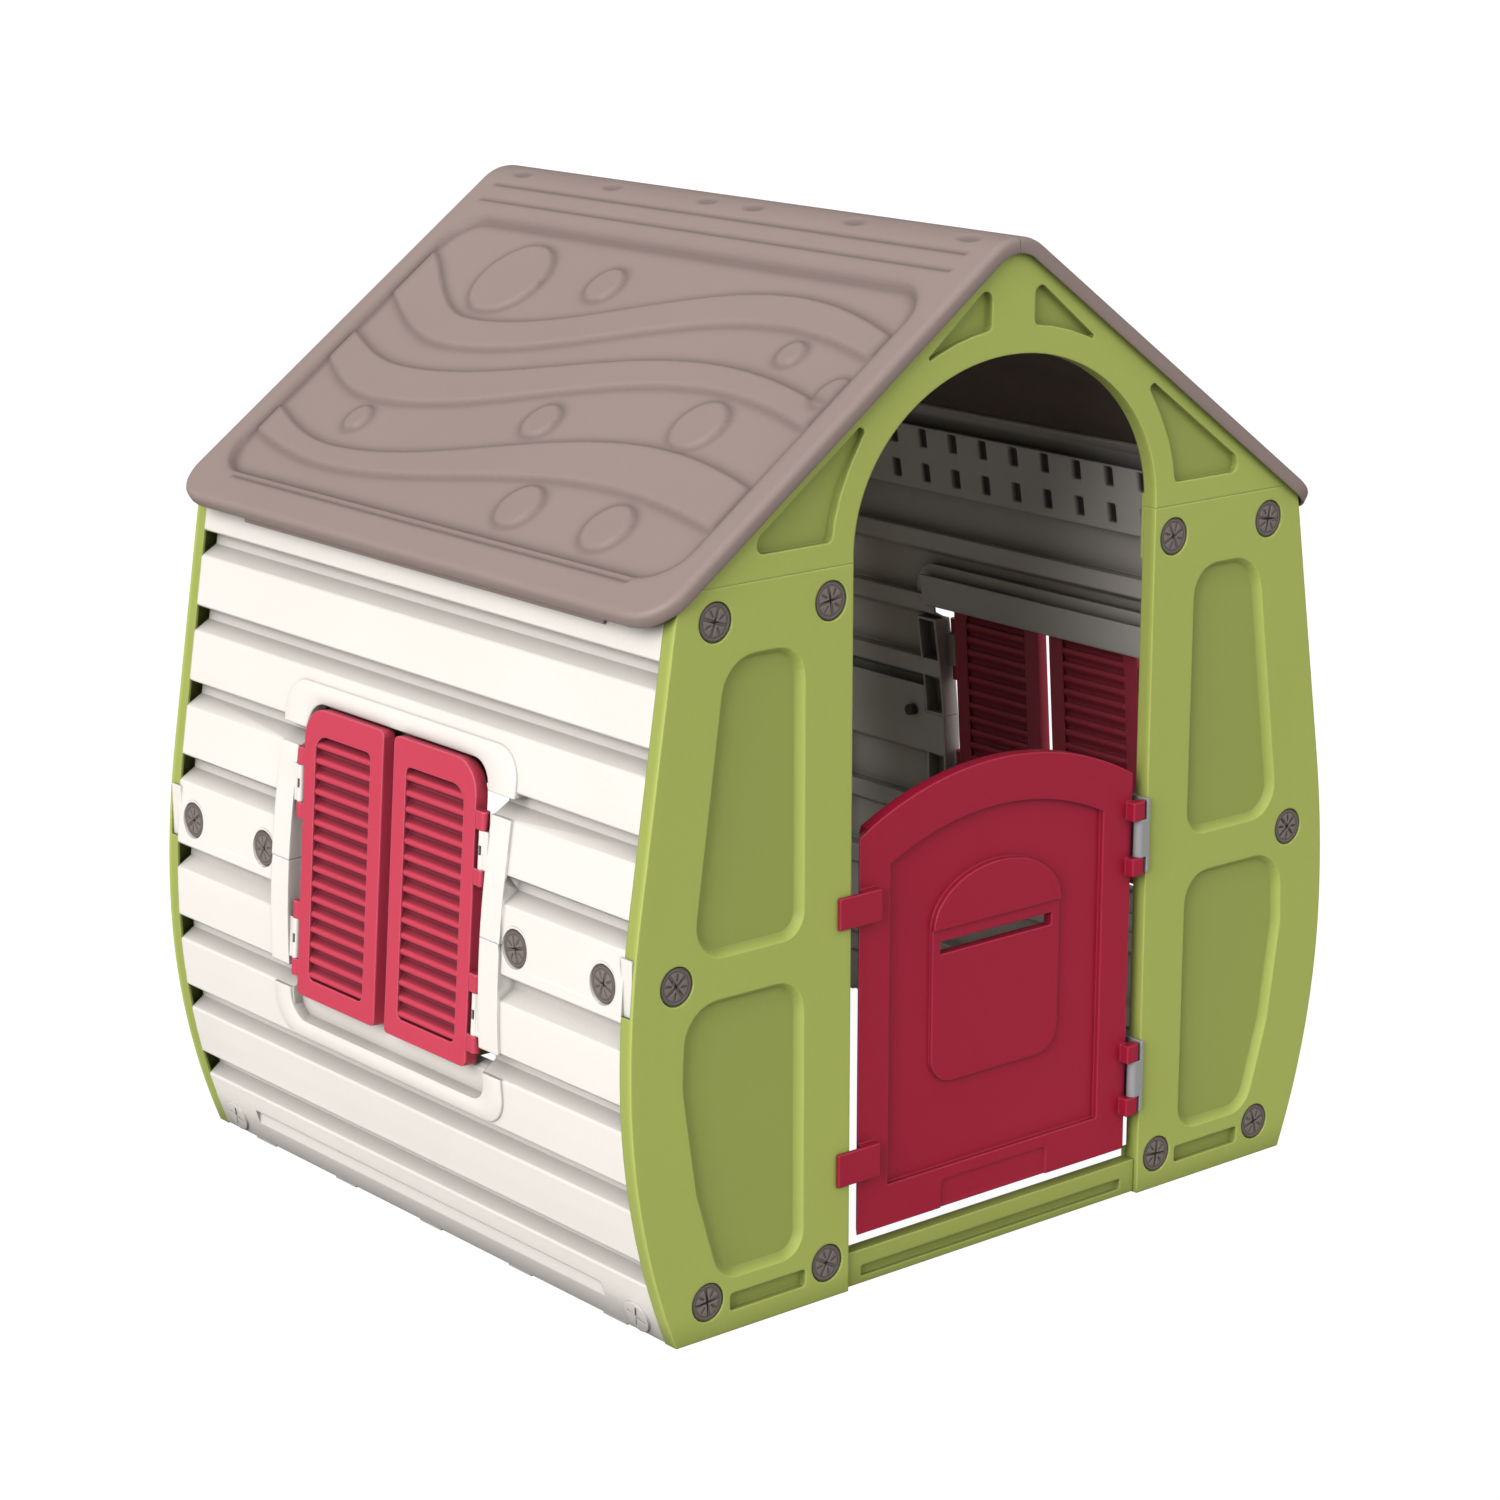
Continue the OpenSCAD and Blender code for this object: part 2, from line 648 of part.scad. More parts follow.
function wave(y, mid, amp, crest, lead, trail) =
    mid + amp * cos(180 * (y > crest ? (y - crest) / lead : (crest - y) / trail));
function grain(m0, a0, c0, l0, t0, m1, a1, c1, l1, t1) = let(n = 40, e = field_half - 6) concat(
    [for (i = [0:n]) let(y = -e + 2 * e * i / n) [wave(y, m0, a0, c0, l0, t0), y]],
    [for (i = [n:-1:0]) let(y = -e + 2 * e * i / n) [wave(y, m1, a1, c1, l1, t1), y]]);
knots = [[186, 230, 54], [172, 73, 25], [220, -286, 17], [336, -253, 34], [374, -27, 24], [425, 256, 18],
  [488, -111, 29], [487, -258, 31]];
module grain_relief(side) {
  on_slope()
    translate([0, 0, -field_d - 0.5])
      linear_extrude(grain_h + 0.5)
        scale([1, side]) {
          polygon(back(grain(200, 56, 230, 240, 464, 243, 56, 237, 313, 490)));
          polygon(back(grain(298, 44, 262, 308, 478, 341, 53, 266, 304, 500)));
          polygon(back(grain(424, 47, 251, 343, 485, 469, 30, 237, 362, 450)));
        }
  on_slope()
    for (k = knots)
      translate([k[0], side * k[1], -field_d - 0.5])
        cylinder(r = k[2], h = grain_h + 0.5);
}
module roof_half(side) {
  difference() {
    intersection() {
      slab(-roof_half_d, roof_half_d)
        polygon(back(roof_full));
      plan_prism(0, -120, 60);
      translate([roof_seam, -1000, 0])
        cube([1000, 2000, 2000]);
    }
    difference() {
      intersection() {
        slab(-roof_half_d + skin, roof_half_d - skin)
          polygon(back(roof_void));
        plan_prism(skin, -300, 60);
      }
      on_slope()
        translate([0, 0, -field_d - skin])
          linear_extrude(field_d + skin + 5)
            polygon(rounded(box2(field_u0 - skin, -field_half - skin, field_u1 + skin, field_half + skin),
              [48, 55, 55, 48]));
      for (y = [-260, -130, 0, 130, 260])
        intersection() {
          slab(y - 1.3, y + 1.3)
            polygon(back(roof_full));
          translate([70, -500, 0])
            cube([310, 1000, 1200]);
        }
    }
    on_slope()
      translate([0, 0, -field_d])
        linear_extrude(20)
          polygon(rounded(box2(field_u0, -field_half, field_u1, field_half), [45, 55, 55, 45]));
    on_slope()
      for (u = [52, 78])
        translate([u - 1.5, -field_half - 1, -1.6])
          cube([3, 2 * field_half + 2, 5]);
    on_slope()
      translate([547, 80 - roof_half_d, -1.6])
        cube([3, 2 * roof_half_d - 160, 5]);
  }
  grain_relief(side);
  slab(113 - roof_half_d, roof_half_d - 113)
    polygon([[bx(735) + 1.5, 735], [bx(735) + 4.5, 735], [bx(735) + 4.5, roof_apex - 1.5 - tp * (bx(735) + 4.5)],
      [bx(735) + 1.5, roof_apex - 1.5 - tp * (bx(735) + 1.5)]]);
}

// --- door ---
door_face = front + door_set;
door_back = door_face + door_t;
function arc_top(half, z_end, z_mid, n) = let(
    h = z_mid - z_end,
    r = (half * half + h * h) / (2 * h),
    a = asin(half / r))
    [for (i = [0:n]) let(q = a - 2 * a * i / n) [r * sin(q), z_mid - r + r * cos(q)]];
door_outline = concat([[-door_half_w, door_bottom], [door_half_w, door_bottom]],
  arc_top(door_half_w, door_top - 52, door_top, 24));
door_field_half = 155;
door_field = concat([[-door_field_half, 102], [door_field_half, 102]],
  arc_top(door_field_half, door_top - 87, door_top - 51, 20));
plaque_half = 92.5;
plaque = concat(rounded([[plaque_half, 369], [-plaque_half, 369], [-plaque_half, 197], [plaque_half, 197]],
  [0, 0, 30, 30], 6));
dome = [for (i = [0:24]) let(a = 7.5 * i) [plaque_half * cos(a), 369 + 61 * sin(a)]];
slot_z = 348;
door_field_d = 6;
axis_x = 204;
axis_front = front + 1;
hinge_sets = [[376, 395.5, 438.5, 459], [98, 118, 160, 180]];
latch_z = [[401, 435], [121, 157]];

module door_lug(z0, z1, up) {
  difference() {
    union() {
      translate([axis_x, axis_front, z0])
        cylinder(r = knuckle_r, h = z1 - z0);
      translate([door_half_w - 8, axis_front - knuckle_r, z0])
        cube([axis_x - door_half_w + 8, 2 * knuckle_r, z1 - z0]);
      translate([door_half_w - 8, axis_front, z0])
        cube([7.5, door_back - axis_front - 4, z1 - z0]);
    }
    translate([axis_x, axis_front, up ? z1 - 11 : z0 - 1])
      cylinder(r = stud_r + stud_clear, h = 12);
  }
}
module door() {
  difference() {
    slab(door_face, door_back)
      polygon(door_outline);
    difference() {
      slab(door_face + skin, door_back + 1)
        polygon(inset(door_outline, skin));
      slab(door_face, door_face + door_field_d + skin)
        polygon(inset(door_field, -skin));
      slab(door_face, door_back - 1)
        polygon(box2(-slot_half - skin, slot_z - slot_h / 2 - skin, slot_half + skin, slot_z + slot_h / 2 + skin));
      for (x = [-100, 100])
        slab(door_face, door_back - 2)
          polygon(box2(x - 1.2, door_bottom, x + 1.2, door_top - 30));
      for (z = [150, 300, 450])
        slab(door_face, door_back - 2)
          polygon(box2(-door_half_w, z - 1.2, door_half_w, z + 1.2));
    }
    slab(door_face - 1, door_face + door_field_d)
      polygon(door_field);
    slab(door_face - 1, door_back + 1)
      polygon(box2(-slot_half, slot_z - slot_h / 2, slot_half, slot_z + slot_h / 2));
    slab(door_face - 1, door_face + 2)
      polygon(rounded(box2(-78, door_bottom - 1, 78, 88), [0, 0, 6, 6], 3));
  }
  difference() {
    union() {
      slab(door_face + 2, door_face + door_field_d + 0.5)
        polygon(plaque);
      slab(door_face - 1, door_face + door_field_d + 0.5)
        polygon(dome);
    }
    slab(door_face - 2, door_back + 1)
      polygon(box2(-slot_half, slot_z - slot_h / 2, slot_half, slot_z + slot_h / 2));
  }
  for (s = latch_z) {
    slab(front - 4.4, front - 0.5)
      polygon(box2(-233, s[0], -176, s[1]));
    slab(front - 1, door_face + 1)
      polygon(box2(-door_half_w + 1, s[0], -176, s[1]));
  }
  for (h = hinge_sets) {
    door_lug(h[0], h[1], true);
    door_lug(h[2], h[3], false);
  }
}
module door_bracket(h) {
  translate([axis_x, axis_front, h[1] + knuckle_gap])
    cylinder(r = knuckle_r, h = h[2] - h[1] - 2 * knuckle_gap);
  translate([axis_x, axis_front, h[1] - 9])
    cylinder(r = stud_r, h = h[2] - h[1] + 18);
  translate([axis_x, axis_front - knuckle_r, h[1] + knuckle_gap])
    cube([door_way_half - fit - axis_x, 2 * knuckle_r, h[2] - h[1] - 2 * knuckle_gap]);
  translate([axis_x + knuckle_r + 0.6, axis_front - knuckle_r, h[0] + 2])
    cube([door_way_half - fit - axis_x - knuckle_r - 0.6, end_depth + 5 + skin, h[3] - h[0]]);
  translate([axis_x + knuckle_r + 0.6, rear + fit, h[0] + 2])
    cube([26, skin, h[3] - h[0]]);
}

// --- shutters, drawn for the +X side and the +Y half ---
hinge_edge = shutter_gap / 2 + shutter_w;
shutter_z0 = 240 - 400;
side_rim = 21;
field_z0 = shutter_z0 + 21;
field_z1 = shutter_z0 + shutter_h - 29;
slat_pitch = (field_z1 - field_z0) / slats;
module shutter_lug(z0, z1, up) {
  translate([0, axis_y, z0 - 400])
    cylinder(r = knuckle_r - 0.5, h = z1 - z0);
  translate([-knuckle_r + 0.5, hinge_edge - 2, z0 - 400])
    cube([2 * knuckle_r - 2, axis_y - hinge_edge + 2, z1 - z0]);
  translate([0, axis_y, (up ? z1 - 1 : z0 - 9) - 400])
    cylinder(r = stud_r, h = 10);
}
module shutter() {
  leaning() {
    difference() {
      slab_x(axis_in - shutter_t, axis_in)
        polygon(rounded(box2(shutter_gap / 2, shutter_z0, hinge_edge, shutter_z0 + shutter_h), [5, 8, 36, 8], 8));
      slab_x(axis_in - 8, axis_in + 1)
        polygon(rounded(box2(shutter_gap / 2 + side_rim + 2, field_z0, hinge_edge - side_rim, field_z1),
          [8, 8, 20, 8], 6));
      slab_x(axis_in - shutter_t - 1, axis_in - 8 - skin)
        polygon(rounded(box2(shutter_gap / 2 + side_rim + 2, field_z0, hinge_edge - side_rim, field_z1),
          [8, 8, 20, 8], 6));
    }
    for (i = [0:slats - 1])
      translate([0, 0, field_z0 + slat_pitch * (i + 0.5)])
        slab(shutter_gap / 2 + side_rim + 1, hinge_edge - side_rim + 1)
          polygon([[axis_in - 8.5, -5], [axis_in - 1.8, -4.4], [axis_in - 1.8, -2.2], [axis_in - 8.5, 6.2]]);
    shutter_lug(hinge_low[0] - 19, hinge_low[0] - knuckle_gap, true);
    shutter_lug(hinge_low[1] + knuckle_gap, hinge_low[1] + 20, false);
    shutter_lug(hinge_high[0] - 18, hinge_high[0] - knuckle_gap, true);
    shutter_lug(hinge_high[1] + knuckle_gap, hinge_high[1] + 20, false);
  }
}

// --- the house ---
module to_back() {
  rotate([0, 0, 180])
    children();
}
module to_left() {
  mirror([1, 0, 0])
    children();
}
module front_right_panel() color(green) lower_panel();
module front_left_panel() color(green) to_left() lower_panel();
module front_gable() color(green) gable();
module front_threshold() color(green) threshold();
module back_left_panel() color(green) to_back() lower_panel();
module back_right_panel() color(green) to_back() to_left() lower_panel();
module back_gable() color(green) to_back() gable();
module back_threshold() color(green) to_back() threshold();
module front_screws() color(brown) end_screws();
module back_screws() color(brown) to_back() end_screws();
module right_wall_lower() color(cream) wall_lower();
module right_wall_upper() color(cream) wall_upper();
module left_wall_lower() color(cream) to_left() wall_lower();
module left_wall_upper() color(cream) to_left() wall_upper();
module right_wall_screws() color(brown) wall_screw_set();
module left_wall_screws() color(brown) to_left() wall_screw_set();
module roof_right() color(taupe) roof_half(-1);
module roof_left() color(taupe) to_left() roof_half(1);
module door_leaf() color(red) door();
module upper_door_bracket() color(grey) door_bracket(hinge_sets[0]);
module lower_door_bracket() color(grey) door_bracket(hinge_sets[1]);
module right_back_shutter() color(pink) shutter();
module right_front_shutter() color(pink) mirror([0, 1, 0]) shutter();
module left_back_shutter() color(pink) to_left() shutter();
module left_front_shutter() color(pink) to_left() mirror([0, 1, 0]) shutter();

front_right_panel();
front_left_panel();
front_gable();
front_threshold();
back_left_panel();
back_right_panel();
back_gable();
back_threshold();
front_screws();
back_screws();
right_wall_lower();
right_wall_upper();
left_wall_lower();
left_wall_upper();
right_wall_screws();
left_wall_screws();
roof_right();
roof_left();
door_leaf();
upper_door_bracket();
lower_door_bracket();
right_back_shutter();
right_front_shutter();
left_back_shutter();
left_front_shutter();
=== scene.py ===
"""Moulded plastic playhouse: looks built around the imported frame, in metres, +Z up, the door faces -Y."""
import json
import math

import bmesh
import bpy
import numpy as np
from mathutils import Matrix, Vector

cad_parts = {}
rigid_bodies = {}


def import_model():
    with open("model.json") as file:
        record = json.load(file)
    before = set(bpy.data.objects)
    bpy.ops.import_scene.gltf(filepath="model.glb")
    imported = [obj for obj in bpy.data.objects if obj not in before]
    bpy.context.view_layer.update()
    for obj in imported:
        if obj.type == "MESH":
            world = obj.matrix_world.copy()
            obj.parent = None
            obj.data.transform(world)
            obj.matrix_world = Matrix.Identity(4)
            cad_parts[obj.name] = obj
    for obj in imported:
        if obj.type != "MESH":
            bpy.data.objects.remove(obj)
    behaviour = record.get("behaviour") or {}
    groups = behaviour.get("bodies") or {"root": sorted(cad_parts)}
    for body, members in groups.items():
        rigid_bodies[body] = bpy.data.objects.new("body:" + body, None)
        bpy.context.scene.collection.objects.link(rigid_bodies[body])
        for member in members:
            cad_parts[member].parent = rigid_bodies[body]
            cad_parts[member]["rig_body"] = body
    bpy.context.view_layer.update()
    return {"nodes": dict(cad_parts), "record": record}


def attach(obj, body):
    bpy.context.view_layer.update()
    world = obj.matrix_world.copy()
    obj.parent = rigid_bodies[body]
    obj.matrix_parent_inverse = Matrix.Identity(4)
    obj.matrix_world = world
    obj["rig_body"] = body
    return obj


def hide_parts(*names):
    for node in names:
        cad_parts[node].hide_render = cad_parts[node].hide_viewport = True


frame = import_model()
NODES = frame["nodes"]

# ---------------------------------------------------------------- shader helpers
def link(tree, a, b):
    tree.links.new(a, b)


def add(tree, kind, **settings):
    """New shader node with its settings; a key starting with 'in' and a number sets that input."""
    n = tree.nodes.new(kind)
    for key, value in settings.items():
        if key.startswith("in") and key[2:].isdigit():
            n.inputs[int(key[2:])].default_value = value
        else:
            setattr(n, key, value)
    return n


# ---------------------------------------------------------------- camera and stage
VIEW_AZ, VIEW_EL, VIEW_DISTANCE = -39.874, 15.032, 4.27933
VIEW_TARGET = Vector((0.00975, 0.0, 0.46117))
LENS_MM, SENSOR_MM = 90.04, 36.0


def sight(az, el):
    """Unit vector from the target back to a camera at azimuth az and elevation el, in degrees."""
    a, e = math.radians(az), math.radians(el)
    return Vector((math.sin(a) * math.cos(e), -math.cos(a) * math.cos(e), math.sin(e)))


def make_camera():
    """Camera on the line of sight, looking at the target with Z upright."""
    cam = bpy.data.cameras.new("camera")
    cam.lens, cam.sensor_width, cam.sensor_fit = LENS_MM, SENSOR_MM, "AUTO"
    cam.clip_start, cam.clip_end = 0.05, 60.0
    ob = bpy.data.objects.new("camera", cam)
    bpy.context.scene.collection.objects.link(ob)
    back = sight(VIEW_AZ, VIEW_EL)
    ob.location = VIEW_TARGET + back * VIEW_DISTANCE
    ob.rotation_euler = back.to_track_quat("Z", "Y").to_euler()
    bpy.context.scene.camera = ob


def make_mesh(name, points, faces, material=None, smooth=True):
    """Mesh object from an (n, 3) array of points and an (m, 4) or (m, 3) array of faces."""
    me = bpy.data.meshes.new(name)
    me.from_pydata(np.asarray(points, float).tolist(), [], np.asarray(faces).tolist())
    me.update()
    me.shade_smooth() if smooth else me.shade_flat()
    ob = bpy.data.objects.new(name, me)
    bpy.context.scene.collection.objects.link(ob)
    if material:
        me.materials.append(material)
    return ob


def grid_faces(rows, cols, start=0, flip=False):
    """Quads of a rows x cols grid of points stored row by row from index start."""
    i, j = np.meshgrid(np.arange(rows - 1), np.arange(cols - 1), indexing="ij")
    a = start + i * cols + j
    q = np.stack([a, a + 1, a + cols + 1, a + cols], -1).reshape(-1, 4)
    return q[:, ::-1] if flip else q


def mark_hollows(ob, values):
    """Writes one painted-shade value for each point of a mesh to a point attribute that darkens its colour.
    """
    layer = ob.data.attributes.new("hollow", "FLOAT", "POINT")
    layer.data.foreach_set("value", np.asarray(values, np.float32).ravel())


def close_up(ob, sharp=50, merge=0.0):
    """Joins points within merge, fills open ends, points faces outward and smooths up to a sharp angle."""
    bm = bmesh.new()
    bm.from_mesh(ob.data)
    if merge:
        bmesh.ops.remove_doubles(bm, verts=bm.verts, dist=merge)
    bmesh.ops.holes_fill(bm, edges=[e for e in bm.edges if len(e.link_faces) == 1])
    bmesh.ops.recalc_face_normals(bm, faces=bm.faces)
    bm.to_mesh(ob.data)
    bm.free()
    ob.data.shade_smooth()
    ob.data.set_sharp_from_angle(angle=math.radians(sharp))


def outer_ring(rows, cols):
    """Row and column indices round the edge of a rows x cols grid, starting along row 0."""
    i = np.concatenate([np.zeros(cols, int), np.arange(1, rows), np.full(cols - 1, rows - 1),
                        np.arange(rows - 2, 0, -1)])
    j = np.concatenate([np.arange(cols), np.full(rows - 1, cols - 1), np.arange(cols - 2, -1, -1),
                        np.zeros(rows - 2, int)])
    return i, j


def closed_sheet(name, front, back, shade, material, sharp=50):
    """Closed skin between two rows x cols grids of points, with painted shade on the front one."""
    rows, cols = front.shape[:2]
    count = rows * cols
    i, j = outer_ring(rows, cols)
    ring = i * cols + j
    skirt = np.stack([ring, ring + count, np.roll(ring, -1) + count, np.roll(ring, -1)], -1)
    faces = [grid_faces(rows, cols), grid_faces(rows, cols, count, flip=True), skirt]
    points = np.concatenate([front.reshape(-1, 3), back.reshape(-1, 3)])
    ob = make_mesh(name, points, np.concatenate(faces), material)
    mark_hollows(ob, np.concatenate([shade.ravel(), np.zeros(count)]))
    close_up(ob, sharp)
    return ob


def swept_faces(rows, cols):
    """Quads of a closed tube stored as rows of cols points round its section."""
    i = np.arange(rows - 1) * cols
    close = np.stack([i + cols - 1, i, i + cols, i + 2 * cols - 1], -1)
    return np.concatenate([grid_faces(rows, cols), close])


def make_stage():
    """Large floor. Seen directly it is as white as the surround; it gives the house a little bounced
    light."""
    half, level = 150.0, -0.0005
    corners = [(-half, -half, level), (half, -half, level), (half, half, level), (-half, half, level)]
    floor = make_mesh("floor", corners, [(0, 1, 2, 3)])
    mat = bpy.data.materials.new("pale_floor")
    mat.use_nodes = True
    t = mat.node_tree
    bsdf = t.nodes["Principled BSDF"]
    bsdf.inputs["Roughness"].default_value = 0.9
    bsdf.inputs["Specular IOR Level"].default_value = 0.1
    seen = add(t, "ShaderNodeLightPath")
    tone = add(t, "ShaderNodeMix", data_type="RGBA")
    tone.inputs[6].default_value = (0.30, 0.30, 0.30, 1)
    tone.inputs[7].default_value = (0.10, 0.10, 0.10, 1)
    link(t, seen.outputs["Is Camera Ray"], tone.inputs[0])
    link(t, tone.outputs[2], bsdf.inputs["Base Color"])
    bsdf.inputs["Emission Color"].default_value = (1, 1, 1, 1)
    lift = add(t, "ShaderNodeMath", operation="MULTIPLY", in1=0.97)
    link(t, seen.outputs["Is Camera Ray"], lift.inputs[0])
    link(t, lift.outputs[0], bsdf.inputs["Emission Strength"])
    floor.data.materials.append(mat)


def sun_light(name, az, el, spread, strength):
    """Even soft light from an azimuth and elevation, spread over an angle in degrees."""
    data = bpy.data.lights.new(name, "SUN")
    data.energy, data.angle = strength, math.radians(spread)
    ob = bpy.data.objects.new(name, data)
    bpy.context.scene.collection.objects.link(ob)
    ob.rotation_euler = sight(az, el).to_track_quat("Z", "Y").to_euler()


def make_lights():
    """Pale surround with a large key light on the window side and a weaker fill on the door side."""
    world = bpy.data.worlds.new("studio")
    bpy.context.scene.world = world
    world.use_nodes = True
    t = world.node_tree
    sky = t.nodes["Background"]
    sky.inputs[0].default_value = (1, 1, 1, 1)
    seen = add(t, "ShaderNodeLightPath")
    glow = add(t, "ShaderNodeMapRange", in3=0.30, in4=1.0)
    link(t, seen.outputs["Is Camera Ray"], glow.inputs[0])
    link(t, glow.outputs[0], sky.inputs[1])
    sun_light("key", -78, 24, 45, 3.25)
    sun_light("fill", 14, 20, 60, 0.95)
    sun_light("top", -20, 80, 60, 0.3)
    bpy.context.scene.view_settings.view_transform = "Standard"


make_camera()
make_stage()
make_lights()


# ---------------------------------------------------------------- finishes
def painted_recess_shade(t, where, level, near, far, tone):
    """Multiplies level by 1 where |Y| is past near and by tone where it is short of far, which paints shade
    onto the thin recessed fields of the end panels."""
    split = add(t, "ShaderNodeSeparateXYZ")
    link(t, where, split.inputs[0])
    away = add(t, "ShaderNodeMath", operation="ABSOLUTE")
    link(t, split.outputs["Y"], away.inputs[0])
    ramp = add(t, "ShaderNodeMapRange", in1=near, in2=far, in3=1.0, in4=tone)
    link(t, away.outputs[0], ramp.inputs[0])
    both = add(t, "ShaderNodeMath", operation="MULTIPLY")
    link(t, level, both.inputs[0])
    link(t, ramp.outputs[0], both.inputs[1])
    return both.outputs[0]


def moulded_plastic(name, colour, edge, rough=0.42, edge_round=0.003, glow=0.06, grain=0.10, streak=0.05,
                    specular=0.35, crevice_shade=0.55, recess_shade=None, hollow_reach=0.035):
    """Satin moulded plastic: colour drifts slowly over the panel and speckles at 2 mm, rounded edges are
    paler, partly scuffs and partly a painted highlight, the surface has a 1 mm orange-peel grain, and its
    roughness varies with handling. Painted shade darkens corners and creases down to the crevice level, the
    recessed fields by the recess tone, and marked points by the painted shade written on them."""
    m = bpy.data.materials.new(name)
    m.use_nodes = True
    t = m.node_tree
    bsdf = t.nodes["Principled BSDF"]
    where = add(t, "ShaderNodeTexCoord").outputs["Object"]
    drift = add(t, "ShaderNodeTexNoise", noise_dimensions="3D")
    drift.inputs["Scale"].default_value = 3.2
    drift.inputs["Detail"].default_value = 3.0
    fleck = add(t, "ShaderNodeTexNoise")
    fleck.inputs["Scale"].default_value = 420.0
    fleck.inputs["Detail"].default_value = 2.0
    peel = add(t, "ShaderNodeTexNoise")
    peel.inputs["Scale"].default_value = 900.0
    peel.inputs["Detail"].default_value = 3.0
    wavy = add(t, "ShaderNodeTexNoise")
    wavy.inputs["Scale"].default_value = 14.0
    wavy.inputs["Detail"].default_value = 2.0
    for n in (drift, fleck, peel, wavy):
        link(t, where, n.inputs["Vector"])
    soft = add(t, "ShaderNodeBevel", samples=6)
    soft.inputs["Radius"].default_value = edge_round
    geo = add(t, "ShaderNodeNewGeometry")
    turn = add(t, "ShaderNodeVectorMath", operation="DOT_PRODUCT")
    link(t, soft.outputs[0], turn.inputs[0])
    link(t, geo.outputs["Normal"], turn.inputs[1])
    # paler rounded edges: partly scuffs, partly a painted highlight where edges catch the light
    edge_wear_and_highlight = add(t, "ShaderNodeMapRange", in1=0.995, in2=0.86, in3=0.0, in4=1.0)
    link(t, turn.outputs["Value"], edge_wear_and_highlight.inputs[0])
    dark = [c * (1 - streak) for c in colour]
    light = [min(1.0, c * (1 + streak)) for c in colour]
    base = add(t, "ShaderNodeMix", data_type="RGBA")
    base.inputs[6].default_value = (*dark, 1)
    base.inputs[7].default_value = (*light, 1)
    link(t, drift.outputs["Fac"], base.inputs[0])
    speck = add(t, "ShaderNodeMapRange", in1=0.35, in2=0.75, in3=0.0, in4=0.10)
    link(t, fleck.outputs["Fac"], speck.inputs[0])
    specked = add(t, "ShaderNodeMix", data_type="RGBA")
    specked.inputs[7].default_value = (*[min(1.0, c * 1.25 + 0.01) for c in colour], 1)
    link(t, speck.outputs[0], specked.inputs[0])
    link(t, base.outputs[2], specked.inputs[6])
    scuff_and_highlight = add(t, "ShaderNodeMix", data_type="RGBA")
    scuff_and_highlight.inputs[7].default_value = (*edge, 1)
    link(t, edge_wear_and_highlight.outputs[0], scuff_and_highlight.inputs[0])
    link(t, specked.outputs[2], scuff_and_highlight.inputs[6])
    # painted shade: ambient occlusion darkens the colour in corners and creases, down to the crevice level
    hollow = add(t, "ShaderNodeAmbientOcclusion", samples=8)
    hollow.inputs["Distance"].default_value = hollow_reach
    shade = add(t, "ShaderNodeMapRange", in1=0.25, in2=0.95, in3=crevice_shade, in4=1.0)
    link(t, hollow.outputs["AO"], shade.inputs[0])
    deep = add(t, "ShaderNodeMix", data_type="RGBA", blend_type="MULTIPLY")
    deep.inputs[0].default_value = 1.0
    grey = add(t, "ShaderNodeCombineColor")
    level = shade.outputs[0]
    # painted shade: the recessed fields of the end panels are darker by their depth in Y
    if recess_shade:
        level = painted_recess_shade(t, where, level, *recess_shade)
    # painted shade written on the mesh points: 1 is black, 0 leaves the colour as it is
    marks = add(t, "ShaderNodeAttribute", attribute_name="hollow")
    keep = add(t, "ShaderNodeMath", operation="SUBTRACT", in0=1.0, use_clamp=True)
    link(t, marks.outputs["Fac"], keep.inputs[1])
    kept = add(t, "ShaderNodeMath", operation="MULTIPLY")
    link(t, level, kept.inputs[0])
    link(t, keep.outputs[0], kept.inputs[1])
    for k in range(3):
        link(t, kept.outputs[0], grey.inputs[k])
    link(t, scuff_and_highlight.outputs[2], deep.inputs[6])
    link(t, grey.outputs[0], deep.inputs[7])
    link(t, deep.outputs[2], bsdf.inputs["Base Color"])
    handled = add(t, "ShaderNodeMapRange", in1=0.3, in2=0.7, in3=rough - 0.05, in4=rough + 0.07)
    link(t, wavy.outputs["Fac"], handled.inputs[0])
    link(t, handled.outputs[0], bsdf.inputs["Roughness"])
    bump = add(t, "ShaderNodeBump")
    bump.inputs["Strength"].default_value = grain
    bump.inputs["Distance"].default_value = 0.0004
    link(t, peel.outputs["Fac"], bump.inputs["Height"])
    link(t, soft.outputs[0], bump.inputs["Normal"])
    link(t, bump.outputs[0], bsdf.inputs["Normal"])
    bsdf.inputs["Specular IOR Level"].default_value = specular
    bsdf.inputs["Subsurface Weight"].default_value = glow
    bsdf.inputs["Subsurface Radius"].default_value = (0.006, 0.005, 0.004)
    bsdf.inputs["Subsurface Scale"].default_value = 1.0
    return m


# The second colour of each finish is its paler edge colour, partly scuffs and partly a painted highlight.
GREEN = moulded_plastic("lime_plastic", (0.425, 0.490, 0.112), (0.55, 0.65, 0.18),
                        recess_shade=(0.4285, 0.4225, 0.80))
CREAM = moulded_plastic("cream_plastic", (0.80, 0.755, 0.70), (0.88, 0.85, 0.80),
                        rough=0.5, crevice_shade=0.30, hollow_reach=0.055)
TAUPE = moulded_plastic("taupe_plastic", (0.300, 0.228, 0.208), (0.36, 0.285, 0.262),
                        rough=0.52, crevice_shade=0.25, hollow_reach=0.010, edge_round=0.002)
CRIMSON = moulded_plastic("crimson_plastic", (0.40, 0.010, 0.040), (0.55, 0.04, 0.09), rough=0.38)
RASPBERRY = moulded_plastic("raspberry_plastic", (0.56, 0.048, 0.088), (0.74, 0.12, 0.19),
                            rough=0.40, crevice_shade=0.30, hollow_reach=0.014)
